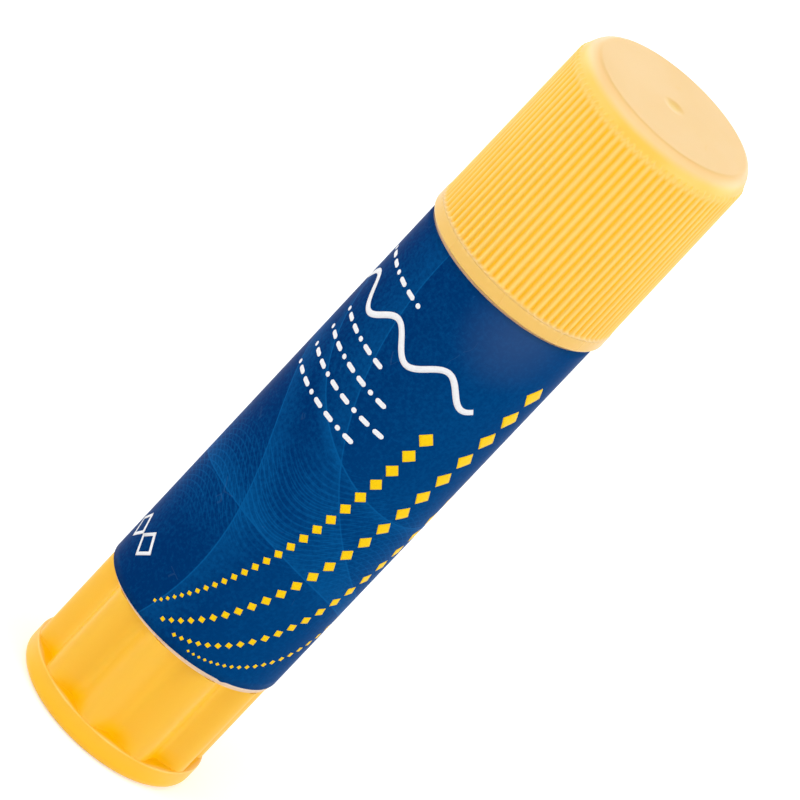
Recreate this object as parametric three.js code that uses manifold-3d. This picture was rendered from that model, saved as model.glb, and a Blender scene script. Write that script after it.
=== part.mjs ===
// A twist-up glue stick, closed, standing on its turning knob.
// Millimetres, +Z up, origin at the centre of the foot. The front of the stick faces -Y.
import * as THREE from "three";
import { mergeVertices } from "three/addons/utils/BufferGeometryUtils.js";
import Module from "manifold-3d";

const wasm = await Module();
wasm.setup();

// Clearances
const RUNNING_GAP = 0.3; // between faces that turn on each other
const SLIDING_GAP = 0.25; // round what slides or turns in the bore
const CASTING_GAP = 0.25; // round the adhesive, which fills its space
const CAP_GAP = 0.1; // between the neck's bead and the cap's bore
const SEAT_GAP = 0.1; // between the tube's shoulder and the cap's lip
const LABEL_GAP = 0.03; // under the label
const TENON_GAP = 0.15; // round the screw's square tenon
const THREAD_GAP = 0.3; // between the screw and the hub's thread

// Tube
const BORE_RADIUS = 7.9;
const BODY_WALL = 1.82;
const BODY_LENGTH = 47.65;
const NECK_WALL = 1;
const NECK_LENGTH = 11.7;
const NECK_BEAD_RISE = 2; // from the shoulder to the bead's lower edge
const NECK_BEAD_HEIGHT = 1.2;
const NECK_BEAD_DEPTH = 0.15;
const KEY_COUNT = 2; // upright keys in the bore, which stop the carrier from turning
const KEY_WIDTH = 1.4;
const KEY_DEPTH = 0.5;
const KEY_TOP_INSET = 1; // from the mouth down to the keys' upper ends
const EDGE_BREAK = 0.25; // small chamfer on moulded edges

// Label
const LABEL_THICKNESS = 0.1;
const LABEL_FOOT_INSET = 0.25; // bare tube below the label
const LABEL_TOP_INSET = 0.3; // bare tube above it

// Knob
const FLANGE_HEIGHT = 2.6;
const FLANGE_LIP = 0.09; // how far the flange stands out past the grip
const FLANGE_ROUNDING = 1;
const GRIP_HEIGHT = 10.75;
const GRIP_STEP = 0.16; // how far the grip stands out past the bare tube
const FLUTE_COUNT = 10;
const FLUTE_WIDTH = 4.9;
const FLUTE_DEPTH = 1.45;
const FLUTE_TURN = 13.5; // degrees from the front to the first flute's middle
const FOOT_RING_WIDTH = 1.6;
const FOOT_RECESS = 0.8;
const KNOB_FLOOR = 1.4;
const COLLAR_HEIGHT = 5.25; // the part of the knob that stands in the tube
const COLLAR_WALL = 1.15;
const SNAP_RISE = 2; // from the grip's upper face to the snap bead's lower edge
const SNAP_HEIGHT = 1.4;
const SNAP_DEPTH = 0.5;
const SOCKET_HEIGHT = 7.3;
const SOCKET_WALL = 1.2;

// Lead screw
const SCREW_CORE_RADIUS = 1.7;
const THREAD_DEPTH = 1;
const THREAD_LEAD = 5; // left-handed: one turn lifts the carrier by this much
const CREST_SHARE = 0.22; // of the lead that the flat crest takes
const FLANK_SHARE = 0.09; // of the lead that each sloping flank takes
const TENON_SIDE = 4;
const COLLAR_STEP = 1.2; // how far the screw's thrust collar stands out past the thread
const COLLAR_THICKNESS = 1.3;
const SHANK_STEP = 0.3; // how far the plain shank stands out past the thread

// Carrier and adhesive
const CARRIER_STAND_OFF = 1.4; // from the knob's collar up to the lowered carrier
const SKIRT_HEIGHT = 9;
const SKIRT_WALL = 1;
const PLATE_RISE = 2.2;
const PLATE_THICKNESS = 1.2;
const HUB_HEIGHT = 6.5;
const HUB_WALL = 1.2;
const GLUE_RECESS = 0.7; // from the mouth down to the adhesive's face
const GLUE_TIP = 6; // adhesive above the end of its blind bore
const GLUE_ROUNDING = 0.8;

// Cap
const CAP_WALL = 1.07;
const CAP_DRAFT = 0.24; // how much smaller the cap's radius is at the ribs' upper ends
const CAP_HEADROOM = 9.2; // from the tube's mouth to the cap's ceiling
const CAP_TOP_WALL = 1.4;
const SHOULDER_REACH = 1.5; // how far the rounded shoulder comes in, to the flat top
const SHOULDER_RISE = 3.15; // how far below the top its curve turns upright
const CAP_BORE_DRAFT = 0.4;
const CAP_BORE_ROUNDING = 1.2;
const RIB_COUNT = 80;
const RIB_DEPTH = 0.28;
const RIB_TURN = 3.2; // degrees from the front to the first rib's crest
const RIB_FOOT_INSET = 1.75; // plain band at the lip
const RIB_TOP_INSET = 1.7;
const GROOVE_MOUTH_SHARE = 0.6; // of the rib pitch, at the ribs' crests
const GROOVE_ROOT_SHARE = 0.3; // of the rib pitch, at the groove's bottom
const GATE_RADIUS = 1.15;
const GATE_DEPTH = 0.35;

// How finely round shapes are divided
const ROUND_SIDES = 48;
const SMALL_SIDES = 24;
const FLUTE_SIDES = 40;
const CORNER_STEPS = 4;
const THREAD_STEPS = 16; // for each turn
const SECTION_STEPS = 10; // for the core's whole circle
const CUT_MARGIN = 1; // how far a cutter reaches past what it cuts
const OVERLAP = 0.4; // how far joined shapes reach into each other
const MERGE_DISTANCE = 1e-4;

// Finishes
const YELLOW_PLASTIC = { color: 0xfdc24a, roughness: 0.42, metalness: 0 };
const WHITE_PLASTIC = { color: 0xf1eee8, roughness: 0.45, metalness: 0 };
const BLUE_FILM = { color: 0x063f80, roughness: 0.38, metalness: 0 };
const ADHESIVE = { color: 0xf3efe2, roughness: 0.55, metalness: 0 };

const FULL_TURN = 2 * Math.PI;
const QUARTER_TURN = Math.PI / 2;
const UP = new THREE.Vector3(0, 0, 1);

// Sizes that follow from those above
const barrelRadius = BORE_RADIUS + BODY_WALL;
const neckRadius = BORE_RADIUS + NECK_WALL;
const labelRadius = barrelRadius + LABEL_GAP;
const slidingRadius = BORE_RADIUS - SLIDING_GAP;
const snapRadius = slidingRadius + SNAP_DEPTH;
const keyRadius = BORE_RADIUS - KEY_DEPTH;
const gripRadius = barrelRadius + GRIP_STEP;
const flangeRadius = gripRadius + FLANGE_LIP;
const collarBoreRadius = slidingRadius - COLLAR_WALL;
const crestRadius = SCREW_CORE_RADIUS + THREAD_DEPTH;
const socketRadius = (TENON_SIDE / 2 + TENON_GAP) * Math.SQRT2 + SOCKET_WALL;
const hubRadius = crestRadius + THREAD_GAP + HUB_WALL;
const skirtBoreRadius = slidingRadius - SKIRT_WALL;
const glueRadius = BORE_RADIUS - CASTING_GAP;
const capBoreRadius = neckRadius + NECK_BEAD_DEPTH + CAP_GAP;
const capRadius = capBoreRadius + CAP_WALL;

// Heights above the foot
const knobFloor = FOOT_RECESS + KNOB_FLOOR;
const gripTop = FLANGE_HEIGHT + GRIP_HEIGHT;
const socketTop = knobFloor + SOCKET_HEIGHT;
const collarTop = gripTop + COLLAR_HEIGHT;
const barrelFoot = gripTop + RUNNING_GAP;
const shoulder = barrelFoot + BODY_LENGTH;
const mouth = shoulder + NECK_LENGTH;
const labelFoot = barrelFoot + LABEL_FOOT_INSET;
const carrierFoot = collarTop + CARRIER_STAND_OFF;
const glueFoot = carrierFoot + PLATE_RISE + PLATE_THICKNESS + CASTING_GAP;
const glueTop = mouth - GLUE_RECESS;
const tenonFoot = knobFloor + RUNNING_GAP;
const screwCollarFoot = socketTop + RUNNING_GAP;
const screwTop = threadRing(glueTop - GLUE_TIP - RUNNING_GAP);
const glueBoreEnd = screwTop + RUNNING_GAP;
const capFoot = shoulder + SEAT_GAP;
const capLength = mouth + CAP_HEADROOM + CAP_TOP_WALL - capFoot;

// The nearest height at which every thread form has a ring of points, so that threads mesh.
function threadRing(height) {
  const step = THREAD_LEAD / THREAD_STEPS;
  return Math.round(height / step) * step;
}

// A closed geometry as a solid that can be joined and cut.
function solidOf(geometry) {
  const bare = geometry.clone();
  bare.deleteAttribute("normal");
  bare.deleteAttribute("uv");
  const merged = mergeVertices(bare, MERGE_DISTANCE);
  return new wasm.Manifold(
    new wasm.Mesh({
      numProp: 3,
      vertProperties: merged.attributes.position.array,
      triVerts: new Uint32Array(merged.index.array),
    }),
  );
}

// A named mesh of a solid whose own zero height stands at the given height.
function piece(name, solid, height, finish) {
  const { numProp, vertProperties, triVerts } = solid.getMesh();
  const geometry = new THREE.BufferGeometry();
  geometry.setAttribute("position", new THREE.BufferAttribute(vertProperties, numProp));
  geometry.setIndex(new THREE.BufferAttribute(triVerts, 1));
  geometry.computeVertexNormals();
  const mesh = new THREE.Mesh(geometry, new THREE.MeshStandardMaterial(finish));
  mesh.name = name;
  mesh.position.z = height;
  return mesh;
}

// The solid that [radius, height] points sweep about +Z. They run anticlockwise, and either start
// and end on the axis or close on themselves.
function turned(outline, sides) {
  const loop = outline[0][0] > 0 ? [...outline, outline[0]] : outline;
  const points = loop.map(([radius, height]) => new THREE.Vector2(radius, height));
  return solidOf(new THREE.LatheGeometry(points, sides).rotateX(QUARTER_TURN));
}

// [radius, height] points of a round corner, between two angles in quarter turns. A rise other than
// the rounding makes it higher or lower than it is wide.
function corner(radius, height, rounding, from, to, rise = rounding) {
  const arc = new THREE.EllipseCurve(
    radius,
    height,
    rounding,
    rise,
    from * QUARTER_TURN,
    to * QUARTER_TURN,
    to < from,
  );
  return arc.getPoints(CORNER_STEPS).map((point) => [point.x, point.y]);
}

// A point at a radius and an angle from the front, anticlockwise seen from above.
function around(radius, angle) {
  return new THREE.Vector2(radius * Math.sin(angle), -radius * Math.cos(angle));
}

// An upright box about the axis, cut into or standing on the bore at an angle from the front.
function uprightBar(innerRadius, outerRadius, width, foot, top, angle) {
  const bar = new THREE.BoxGeometry(width, outerRadius - innerRadius, top - foot);
  bar.translate(0, -(innerRadius + outerRadius) / 2, (foot + top) / 2);
  return solidOf(bar.rotateZ(angle));
}

// Bars at every key's angle, which is a quarter turn from the front for the first.
function keyBars(innerRadius, outerRadius, width, foot, top) {
  return Array.from({ length: KEY_COUNT }, (_, i) =>
    uprightBar(innerRadius, outerRadius, width, foot, top, QUARTER_TURN + (i * FULL_TURN) / KEY_COUNT),
  );
}

function joined(solid, others) {
  return others.reduce((sum, other) => sum.add(other), solid);
}

function cut(solid, cutters) {
  return cutters.reduce((rest, cutter) => rest.subtract(cutter), solid);
}

// A left-handed helical form between two heights above the foot, with its zero height at base.
// Its section is a round core with one raised stretch, and it turns once for each lead that it climbs.
function threadForm(coreRadius, outerRadius, crestShare, foot, top, base) {
  const section = new THREE.Shape();
  const crest = (crestShare * FULL_TURN) / 2;
  const root = crest + FLANK_SHARE * FULL_TURN;
  const stretches = [
    [outerRadius, -crest, crest],
    [coreRadius, root, FULL_TURN - root],
  ];
  const points = stretches.flatMap(([radius, from, to]) => {
    const steps = Math.ceil(((to - from) / FULL_TURN) * SECTION_STEPS);
    return Array.from({ length: steps + 1 }, (_, i) => around(radius, from + ((to - from) * i) / steps));
  });
  section.setFromPoints(points);
  const start = threadRing(foot);
  const depth = threadRing(top) - start;
  const steps = Math.round((depth / THREAD_LEAD) * THREAD_STEPS);
  const form = new THREE.ExtrudeGeometry(section, { depth, steps, bevelEnabled: false });
  form.translate(0, 0, start);
  const position = form.attributes.position;
  const point = new THREE.Vector3();
  for (let i = 0; i < position.count; i++) {
    point.fromBufferAttribute(position, i);
    point.applyAxisAngle(UP, (-FULL_TURN * point.z) / THREAD_LEAD);
    position.setXYZ(i, point.x, point.y, point.z - base);
  }
  return solidOf(form);
}

// Knob: flange and fluted grip outside, a collar with a snap bead that turns in the tube, and a
// square socket for the screw in the middle of its floor.
function knobSolid() {
  const snapFoot = gripTop + SNAP_RISE;
  const snapTop = snapFoot + SNAP_HEIGHT;
  const outside = turned(
    [
      [0, FOOT_RECESS],
      [flangeRadius - FLANGE_ROUNDING - FOOT_RING_WIDTH, FOOT_RECESS],
      [flangeRadius - FLANGE_ROUNDING - FOOT_RING_WIDTH, 0],
      ...corner(flangeRadius - FLANGE_ROUNDING, FLANGE_ROUNDING, FLANGE_ROUNDING, -1, 0),
      [flangeRadius, FLANGE_HEIGHT - FLANGE_LIP],
      [gripRadius, FLANGE_HEIGHT],
      [gripRadius, gripTop - EDGE_BREAK],
      [gripRadius - EDGE_BREAK, gripTop],
      [slidingRadius, gripTop],
      [slidingRadius, snapFoot],
      [snapRadius, snapFoot + EDGE_BREAK],
      [snapRadius, snapTop - SNAP_DEPTH],
      [slidingRadius, snapTop],
      [slidingRadius, collarTop],
      [0, collarTop],
    ],
    ROUND_SIDES,
  );
  const hollow = turned(
    [
      [0, socketTop],
      [socketRadius, socketTop],
      [socketRadius, knobFloor],
      [collarBoreRadius, knobFloor],
      [collarBoreRadius, collarTop + CUT_MARGIN],
      [0, collarTop + CUT_MARGIN],
    ],
    ROUND_SIDES,
  );
  const side = TENON_SIDE + 2 * TENON_GAP;
  const socket = new THREE.BoxGeometry(side, side, SOCKET_HEIGHT + CUT_MARGIN);
  socket.translate(0, 0, knobFloor + (SOCKET_HEIGHT + CUT_MARGIN) / 2);
  return cut(outside, [hollow, solidOf(socket), ...fluteCutters()]);
}

// One upright cylinder for each flute. Its radius gives the flute's width and depth at the grip.
function fluteCutters() {
  const halfWidth = FLUTE_WIDTH / 2;
  const bulge = gripRadius - Math.sqrt(gripRadius ** 2 - halfWidth ** 2);
  const depth = FLUTE_DEPTH - bulge;
  const radius = (halfWidth ** 2 + depth ** 2) / (2 * depth);
  const reach = gripRadius - FLUTE_DEPTH + radius;
  const height = GRIP_HEIGHT + CUT_MARGIN;
  return Array.from({ length: FLUTE_COUNT }, (_, i) => {
    const middle = around(reach, THREE.MathUtils.degToRad(FLUTE_TURN) + (i * FULL_TURN) / FLUTE_COUNT);
    const cylinder = new THREE.CylinderGeometry(radius, radius, height, FLUTE_SIDES);
    cylinder.rotateX(QUARTER_TURN);
    cylinder.translate(middle.x, middle.y, FLANGE_HEIGHT + height / 2);
    return solidOf(cylinder);
  });
}

// Lead screw: square tenon, thrust collar, plain shank and left-handed thread.
function screwSolid() {
  const tenonLength = screwCollarFoot - tenonFoot;
  const collarRadius = crestRadius + COLLAR_STEP;
  const collarEnd = tenonLength + COLLAR_THICKNESS;
  const shankRadius = crestRadius + SHANK_STEP;
  const shankEnd = collarTop - tenonFoot;
  const tenon = new THREE.BoxGeometry(TENON_SIDE, TENON_SIDE, tenonLength + OVERLAP);
  tenon.translate(0, 0, (tenonLength + OVERLAP) / 2);
  const shank = turned(
    [
      [0, tenonLength],
      [collarRadius, tenonLength],
      [collarRadius, collarEnd],
      [shankRadius, collarEnd],
      [shankRadius, shankEnd - SHANK_STEP],
      [crestRadius, shankEnd],
      [0, shankEnd],
    ],
    SMALL_SIDES,
  );
  const threadFoot = collarTop - OVERLAP;
  const thread = threadForm(SCREW_CORE_RADIUS, crestRadius, CREST_SHARE, threadFoot, screwTop, tenonFoot);
  return joined(shank, [solidOf(tenon), thread]);
}

// Tube: body, shoulder and neck, a snap groove for the knob's bead, and keys along the bore.
function barrelSolid() {
  const snapFoot = SNAP_RISE - RUNNING_GAP;
  const grooveRadius = snapRadius + SLIDING_GAP;
  const grooveFoot = snapFoot - RUNNING_GAP;
  const grooveTop = snapFoot + SNAP_HEIGHT + RUNNING_GAP;
  const length = mouth - barrelFoot;
  const beadFoot = BODY_LENGTH + NECK_BEAD_RISE;
  const beadTop = beadFoot + NECK_BEAD_HEIGHT;
  const tube = turned(
    [
      [BORE_RADIUS + EDGE_BREAK, 0],
      [barrelRadius - EDGE_BREAK / 2, 0],
      [barrelRadius, EDGE_BREAK / 2],
      [barrelRadius, BODY_LENGTH - EDGE_BREAK / 2],
      [barrelRadius - EDGE_BREAK / 2, BODY_LENGTH],
      [neckRadius, BODY_LENGTH],
      [neckRadius, beadFoot],
      [neckRadius + NECK_BEAD_DEPTH, beadFoot + NECK_BEAD_DEPTH],
      [neckRadius + NECK_BEAD_DEPTH, beadTop - NECK_BEAD_DEPTH],
      [neckRadius, beadTop],
      [neckRadius, length - EDGE_BREAK],
      [neckRadius - EDGE_BREAK, length],
      [BORE_RADIUS + EDGE_BREAK, length],
      [BORE_RADIUS, length - EDGE_BREAK],
      [BORE_RADIUS, grooveTop],
      [grooveRadius, grooveTop - EDGE_BREAK],
      [grooveRadius, grooveFoot + EDGE_BREAK],
      [BORE_RADIUS, grooveFoot],
      [BORE_RADIUS, EDGE_BREAK],
    ],
    ROUND_SIDES,
  );
  const keyFoot = collarTop + RUNNING_GAP - barrelFoot;
  const keys = keyBars(keyRadius, BORE_RADIUS + OVERLAP, KEY_WIDTH, keyFoot, length - KEY_TOP_INSET);
  return joined(tube, keys);
}

// Label: a thin sleeve round the tube's body.
function labelSolid() {
  const height = BODY_LENGTH - LABEL_FOOT_INSET - LABEL_TOP_INSET;
  const outerRadius = labelRadius + LABEL_THICKNESS;
  return turned(
    [
      [labelRadius, 0],
      [outerRadius, 0],
      [outerRadius, height],
      [labelRadius, height],
    ],
    ROUND_SIDES,
  );
}

// Notches that let the keys pass through something that stands in the bore.
function keyNotches(foot, top) {
  const width = KEY_WIDTH + 2 * SLIDING_GAP;
  const root = keyRadius - SLIDING_GAP;
  return keyBars(root, BORE_RADIUS + CUT_MARGIN, width, foot - CUT_MARGIN, top + CUT_MARGIN);
}

// Carrier: a skirt that slides in the bore, a plate, and a hub with the screw's thread cut in it.
function carrierSolid() {
  const plateTop = PLATE_RISE + PLATE_THICKNESS;
  const body = turned(
    [
      [0, 0],
      [hubRadius, 0],
      [hubRadius, PLATE_RISE],
      [skirtBoreRadius, PLATE_RISE],
      [skirtBoreRadius, 0],
      [slidingRadius, 0],
      [slidingRadius, SKIRT_HEIGHT],
      [skirtBoreRadius, SKIRT_HEIGHT],
      [skirtBoreRadius, plateTop],
      [hubRadius, plateTop],
      [hubRadius, HUB_HEIGHT],
      [0, HUB_HEIGHT],
    ],
    ROUND_SIDES,
  );
  const thread = threadForm(
    SCREW_CORE_RADIUS + THREAD_GAP,
    crestRadius + THREAD_GAP,
    CREST_SHARE + (2 * THREAD_GAP) / THREAD_LEAD,
    carrierFoot - CUT_MARGIN,
    carrierFoot + HUB_HEIGHT + CUT_MARGIN,
    carrierFoot,
  );
  return cut(body, [thread, ...keyNotches(0, SKIRT_HEIGHT)]);
}

// Adhesive: cast in the carrier's cup and up the bore, with a blind bore round the screw.
function glueSolid() {
  const screwBoreRadius = crestRadius + THREAD_GAP;
  const hubBoreRadius = hubRadius + CASTING_GAP;
  const hubTop = carrierFoot + HUB_HEIGHT + CASTING_GAP - glueFoot;
  const skirtTop = carrierFoot + SKIRT_HEIGHT + CASTING_GAP - glueFoot;
  const boreEnd = glueBoreEnd - glueFoot;
  const length = glueTop - glueFoot;
  const body = turned(
    [
      [0, boreEnd],
      [screwBoreRadius, boreEnd],
      [screwBoreRadius, hubTop],
      [hubBoreRadius, hubTop],
      [hubBoreRadius, 0],
      [skirtBoreRadius - CASTING_GAP, 0],
      [skirtBoreRadius - CASTING_GAP, skirtTop],
      [glueRadius, skirtTop],
      ...corner(glueRadius - GLUE_ROUNDING, length - GLUE_ROUNDING, GLUE_ROUNDING, 0, 1),
      [0, length],
    ],
    ROUND_SIDES,
  );
  return cut(body, keyNotches(skirtTop, length));
}

// Cap: drafted outside with upright ribs, whose ends stand a little proud of a rounded shoulder, a
// flat top, and a plain bore over the neck.
function capSolid() {
  const ceiling = capLength - CAP_TOP_WALL;
  const ribTop = capLength - RIB_TOP_INSET;
  const ribTopRadius = capRadius - CAP_DRAFT;
  const flatRadius = ribTopRadius - SHOULDER_REACH;
  const shoulderFoot = capLength - SHOULDER_RISE;
  const start = Math.asin((ribTop - shoulderFoot) / SHOULDER_RISE) / QUARTER_TURN;
  const outside = turned(
    [
      [0, 0],
      [capRadius - EDGE_BREAK, 0],
      [capRadius, EDGE_BREAK],
      [ribTopRadius, ribTop],
      ...corner(flatRadius, shoulderFoot, SHOULDER_REACH, start, 1, SHOULDER_RISE),
      [GATE_RADIUS, capLength],
      [GATE_RADIUS / 2, capLength - GATE_DEPTH],
      [0, capLength - GATE_DEPTH],
    ],
    RIB_COUNT,
  );
  const ceilingRadius = capBoreRadius - CAP_BORE_DRAFT - CAP_BORE_ROUNDING;
  const bore = turned(
    [
      [0, -CUT_MARGIN],
      [capBoreRadius + EDGE_BREAK, -CUT_MARGIN],
      [capBoreRadius + EDGE_BREAK, 0],
      [capBoreRadius, EDGE_BREAK],
      [capBoreRadius, mouth + RUNNING_GAP - capFoot],
      ...corner(ceilingRadius, ceiling - CAP_BORE_ROUNDING, CAP_BORE_ROUNDING, 0, 1),
      [0, ceiling],
    ],
    ROUND_SIDES,
  );
  return cut(outside, [bore, grooveCutter()]);
}

// The grooves between the cap's ribs, as one ring whose toothed inner side follows the draft.
function grooveCutter() {
  const pitch = FULL_TURN / RIB_COUNT;
  const root = (GROOVE_ROOT_SHARE * pitch) / 2;
  const reach = GROOVE_MOUTH_SHARE * pitch - root; // where the flank is as far outside as the root is inside
  const first = THREE.MathUtils.degToRad(RIB_TURN) + pitch / 2;
  const teeth = Array.from({ length: RIB_COUNT }, (_, i) => first + i * pitch).flatMap((middle) => [
    around(capRadius + RIB_DEPTH, middle - reach),
    around(capRadius - RIB_DEPTH, middle - root),
    around(capRadius - RIB_DEPTH, middle + root),
    around(capRadius + RIB_DEPTH, middle + reach),
  ]);
  const section = new THREE.Shape();
  section.absarc(0, 0, capRadius + CUT_MARGIN, 0, FULL_TURN, false);
  section.holes.push(new THREE.Path(teeth));
  const ribTop = capLength - RIB_TOP_INSET;
  const depth = ribTop - RIB_FOOT_INSET;
  const ring = new THREE.ExtrudeGeometry(section, { depth, bevelEnabled: false, curveSegments: SMALL_SIDES });
  ring.translate(0, 0, RIB_FOOT_INSET);
  const position = ring.attributes.position;
  for (let i = 0; i < position.count; i++) {
    const height = position.getZ(i);
    const share = 1 - (CAP_DRAFT * height) / (ribTop * capRadius);
    position.setXY(i, position.getX(i) * share, position.getY(i) * share);
  }
  return solidOf(ring);
}

// The knob turns with the screw in it.
const turning = new THREE.Group();
turning.add(piece("twist_knob", knobSolid(), 0, YELLOW_PLASTIC));
turning.add(piece("lead_screw", screwSolid(), tenonFoot, WHITE_PLASTIC));

const housing = new THREE.Group();
housing.add(piece("barrel", barrelSolid(), barrelFoot, WHITE_PLASTIC));
housing.add(piece("label", labelSolid(), labelFoot, BLUE_FILM));

// The carrier and the adhesive in it rise together.
const rising = new THREE.Group();
rising.position.z = carrierFoot;
rising.add(piece("glue_carrier", carrierSolid(), 0, WHITE_PLASTIC));
rising.add(piece("glue_core", glueSolid(), glueFoot - carrierFoot, ADHESIVE));

const stick = new THREE.Group();
stick.add(turning, housing, rising);
stick.add(piece("cap", capSolid(), capFoot, YELLOW_PLASTIC));

export default stick;
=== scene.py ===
"""Looks of a closed twist-up glue stick: ribbed yellow cap, blue printed label, fluted yellow knob.

Sizes are in millimetres and heights are above the foot, until a mesh is made in metres. Angles are
from the front of the stick, which faces -Y, and grow towards +X.
"""
import logging
from dataclasses import dataclass
from enum import Enum
from functools import partialmethod

import bpy
import numpy as np
from mathutils import Matrix, Vector


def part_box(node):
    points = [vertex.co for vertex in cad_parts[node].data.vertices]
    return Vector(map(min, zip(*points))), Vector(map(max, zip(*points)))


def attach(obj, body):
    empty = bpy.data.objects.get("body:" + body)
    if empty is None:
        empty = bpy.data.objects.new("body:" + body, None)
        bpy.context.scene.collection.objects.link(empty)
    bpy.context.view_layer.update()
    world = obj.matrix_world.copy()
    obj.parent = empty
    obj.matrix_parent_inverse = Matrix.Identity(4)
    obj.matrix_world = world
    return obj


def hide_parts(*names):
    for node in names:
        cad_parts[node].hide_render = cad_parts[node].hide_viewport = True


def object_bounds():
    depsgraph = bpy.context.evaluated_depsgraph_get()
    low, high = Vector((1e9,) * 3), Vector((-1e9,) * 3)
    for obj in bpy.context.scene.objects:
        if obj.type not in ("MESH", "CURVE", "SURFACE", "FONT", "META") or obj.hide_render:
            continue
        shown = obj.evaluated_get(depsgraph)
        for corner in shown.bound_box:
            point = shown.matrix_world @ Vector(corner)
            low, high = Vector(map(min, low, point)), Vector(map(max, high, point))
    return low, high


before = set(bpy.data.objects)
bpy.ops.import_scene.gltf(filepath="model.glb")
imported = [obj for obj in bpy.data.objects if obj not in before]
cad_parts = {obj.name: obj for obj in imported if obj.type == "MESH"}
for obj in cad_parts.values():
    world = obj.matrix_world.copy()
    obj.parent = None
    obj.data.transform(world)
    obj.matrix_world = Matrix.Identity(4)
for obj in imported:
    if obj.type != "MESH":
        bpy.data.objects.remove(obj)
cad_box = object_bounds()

log = logging.getLogger("glue_stick")

METRES = 0.001
TURN = 2 * np.pi
QUARTER = np.pi / 2
WRAP_MAP = "wrap"
WRAP_SPAN = 100.0  # millimetres of arc or height that one unit of the label's UV map stands for
WRAP_ROUND = 61.9  # millimetres of arc once round the label, where the print's waves repeat
PAINTED_SHADE = "painted_shade"  # attribute: painted shade, 0 to 1: a deeper colour for shade and light bounced in grooves and shaded places
POLISH_AND_SHADE = "polish_and_shade"  # attribute: 0 to 1, where the mould was polished smoother and the colour is darkened with painted shade
PAINTED_SHEEN = "painted_sheen"  # attribute: painted sheen and painted highlight, 0 to 1: a paler colour for light glancing off the plastic

Array = np.ndarray
Colour = tuple[float, float, float]
Row = tuple[float | Array, float | Array]
Piece = bpy.types.Object
Material = bpy.types.Material
Socket = bpy.types.NodeSocket

WHITE: Colour = (1.0, 1.0, 1.0)
MOST = (0.3, 0.7)  # range in which most of a noise's values lie
UPPER = (0.35, 0.75)  # range that picks a noise's higher values


class Body(Enum):
    """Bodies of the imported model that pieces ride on."""

    HOUSING = "housing"
    KNOB = "knob"
    CARRIER = "carrier"
    CAP = "cap"


class Slot(Enum):
    """Material slots of the record."""

    YELLOW = "yellow_plastic"
    WHITE = "white_plastic"
    FILM = "printed_film"
    ADHESIVE = "adhesive"


# Surfaces


def ease(values: Array, low: float, high: float) -> Array:
    """Smooth step from 0 at low to 1 at high: t squared times (3 - 2t), with t held in 0 to 1."""
    t = np.clip((np.asarray(values, float) - low) / (high - low), 0.0, 1.0)
    return t * t * (3.0 - 2.0 * t)


def extent(node: str) -> tuple[float, float, float]:
    """Foot, top and widest radius of a round CAD node, in millimetres, free of single-precision noise."""
    low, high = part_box(node)
    return tuple(round(size / METRES, 4) for size in (low.z, high.z, max(high.x, high.y)))


def evenly(count: int, start: float = 0.0) -> Array:
    """Angles of count equal columns round the stick, the first at start."""
    return start + np.arange(count) * TURN / count


def squared(angles: Array, side: float) -> Array:
    """Radius of a square of the given side, which stands straight to the axes."""
    return side / 2 / np.maximum(np.abs(np.sin(angles)), np.abs(np.cos(angles)))


def with_keys(angles: Array, radius: float, key_radius: float, key_width: float) -> Array:
    """Radius of a circle with two flat keys or notches in it, at the left and right of the stick.

    A key's face lies at a set distance from the axis, so its radius is that distance / |sin(angle)|.
    """
    on_key = np.abs(np.cos(angles)) < key_width / 2 / radius
    return np.where(on_key, key_radius / np.maximum(np.abs(np.sin(angles)), 0.5), radius)


def rounded(corners: list[tuple[float, float, float]], steps: int = 5) -> Array:
    """Half section through corners, each rounded by a true arc.

    The arc touches both lines at rounding / tan(half the corner's angle) from the corner. Its points
    swing from one touching point to the other about the arc's middle, evenly in angle.

    Args:
        corners: (radius, height, rounding) of each corner, anticlockwise.
        steps: Spans of each arc.

    Returns:
        Points of radius and height, one a row.
    """
    spots = np.array([corner[:2] for corner in corners], float)
    out: list[Array] = []
    for k, (here, rounding) in enumerate(zip(spots, (corner[2] for corner in corners))):
        if rounding <= 0:
            out.append(here[None])
            continue
        before, after = (way / np.linalg.norm(way) for way in (spots[k - 1] - here, spots[k + 1] - here))
        half = np.arccos(np.clip(before @ after, -1.0, 1.0)) / 2.0
        middle = here + (before + after) / np.linalg.norm(before + after) * rounding / np.sin(half)
        reach = rounding / np.tan(half)
        first, second = here + before * reach - middle, here + after * reach - middle
        sweep = np.pi - 2.0 * half
        t = np.linspace(0.0, 1.0, steps + 1)[:, None]
        out.append(middle + (np.sin((1 - t) * sweep) * first + np.sin(t * sweep) * second) / np.sin(sweep))
    return np.vstack(out)


def bevelled(corners: list[tuple[float | Array, float, float]]) -> list[Row]:
    """Rows of a half section of upright and level lines, with its corners cut off aslant.

    Args:
        corners: (radius, height, cut) of each corner. A radius may have a value for each angle.

    Returns:
        Two rows for each corner with a cut, at that distance before and after it, and one for each other.
    """
    spots = np.array([(np.mean(corner[0]), corner[1]) for corner in corners])
    rows: list[Row] = []
    for k, (radius, height, cut) in enumerate(corners):
        ways = np.sign(np.round(spots[[k - 1, k + 1]] - spots[k], 6)) * cut if cut else np.zeros((1, 2))
        rows += [(radius + out, height + up) for out, up in ways]
    return rows


def braced(section: Array, margin: float) -> Array:
    """The section with a row added beside both ends of each long straight.

    Rows that stand margin inside a straight keep the shading of a rounded corner off the flat.
    Straights shorter than three margins get none.
    """
    out = [section[:1]]
    for a, b in zip(section[:-1], section[1:]):
        length = np.linalg.norm(b - a)
        if length > 3 * margin:
            step = (b - a) * margin / length
            out.append(np.array([a + step, b - step]))
        out.append(b[None])
    return np.vstack(out)


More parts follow.
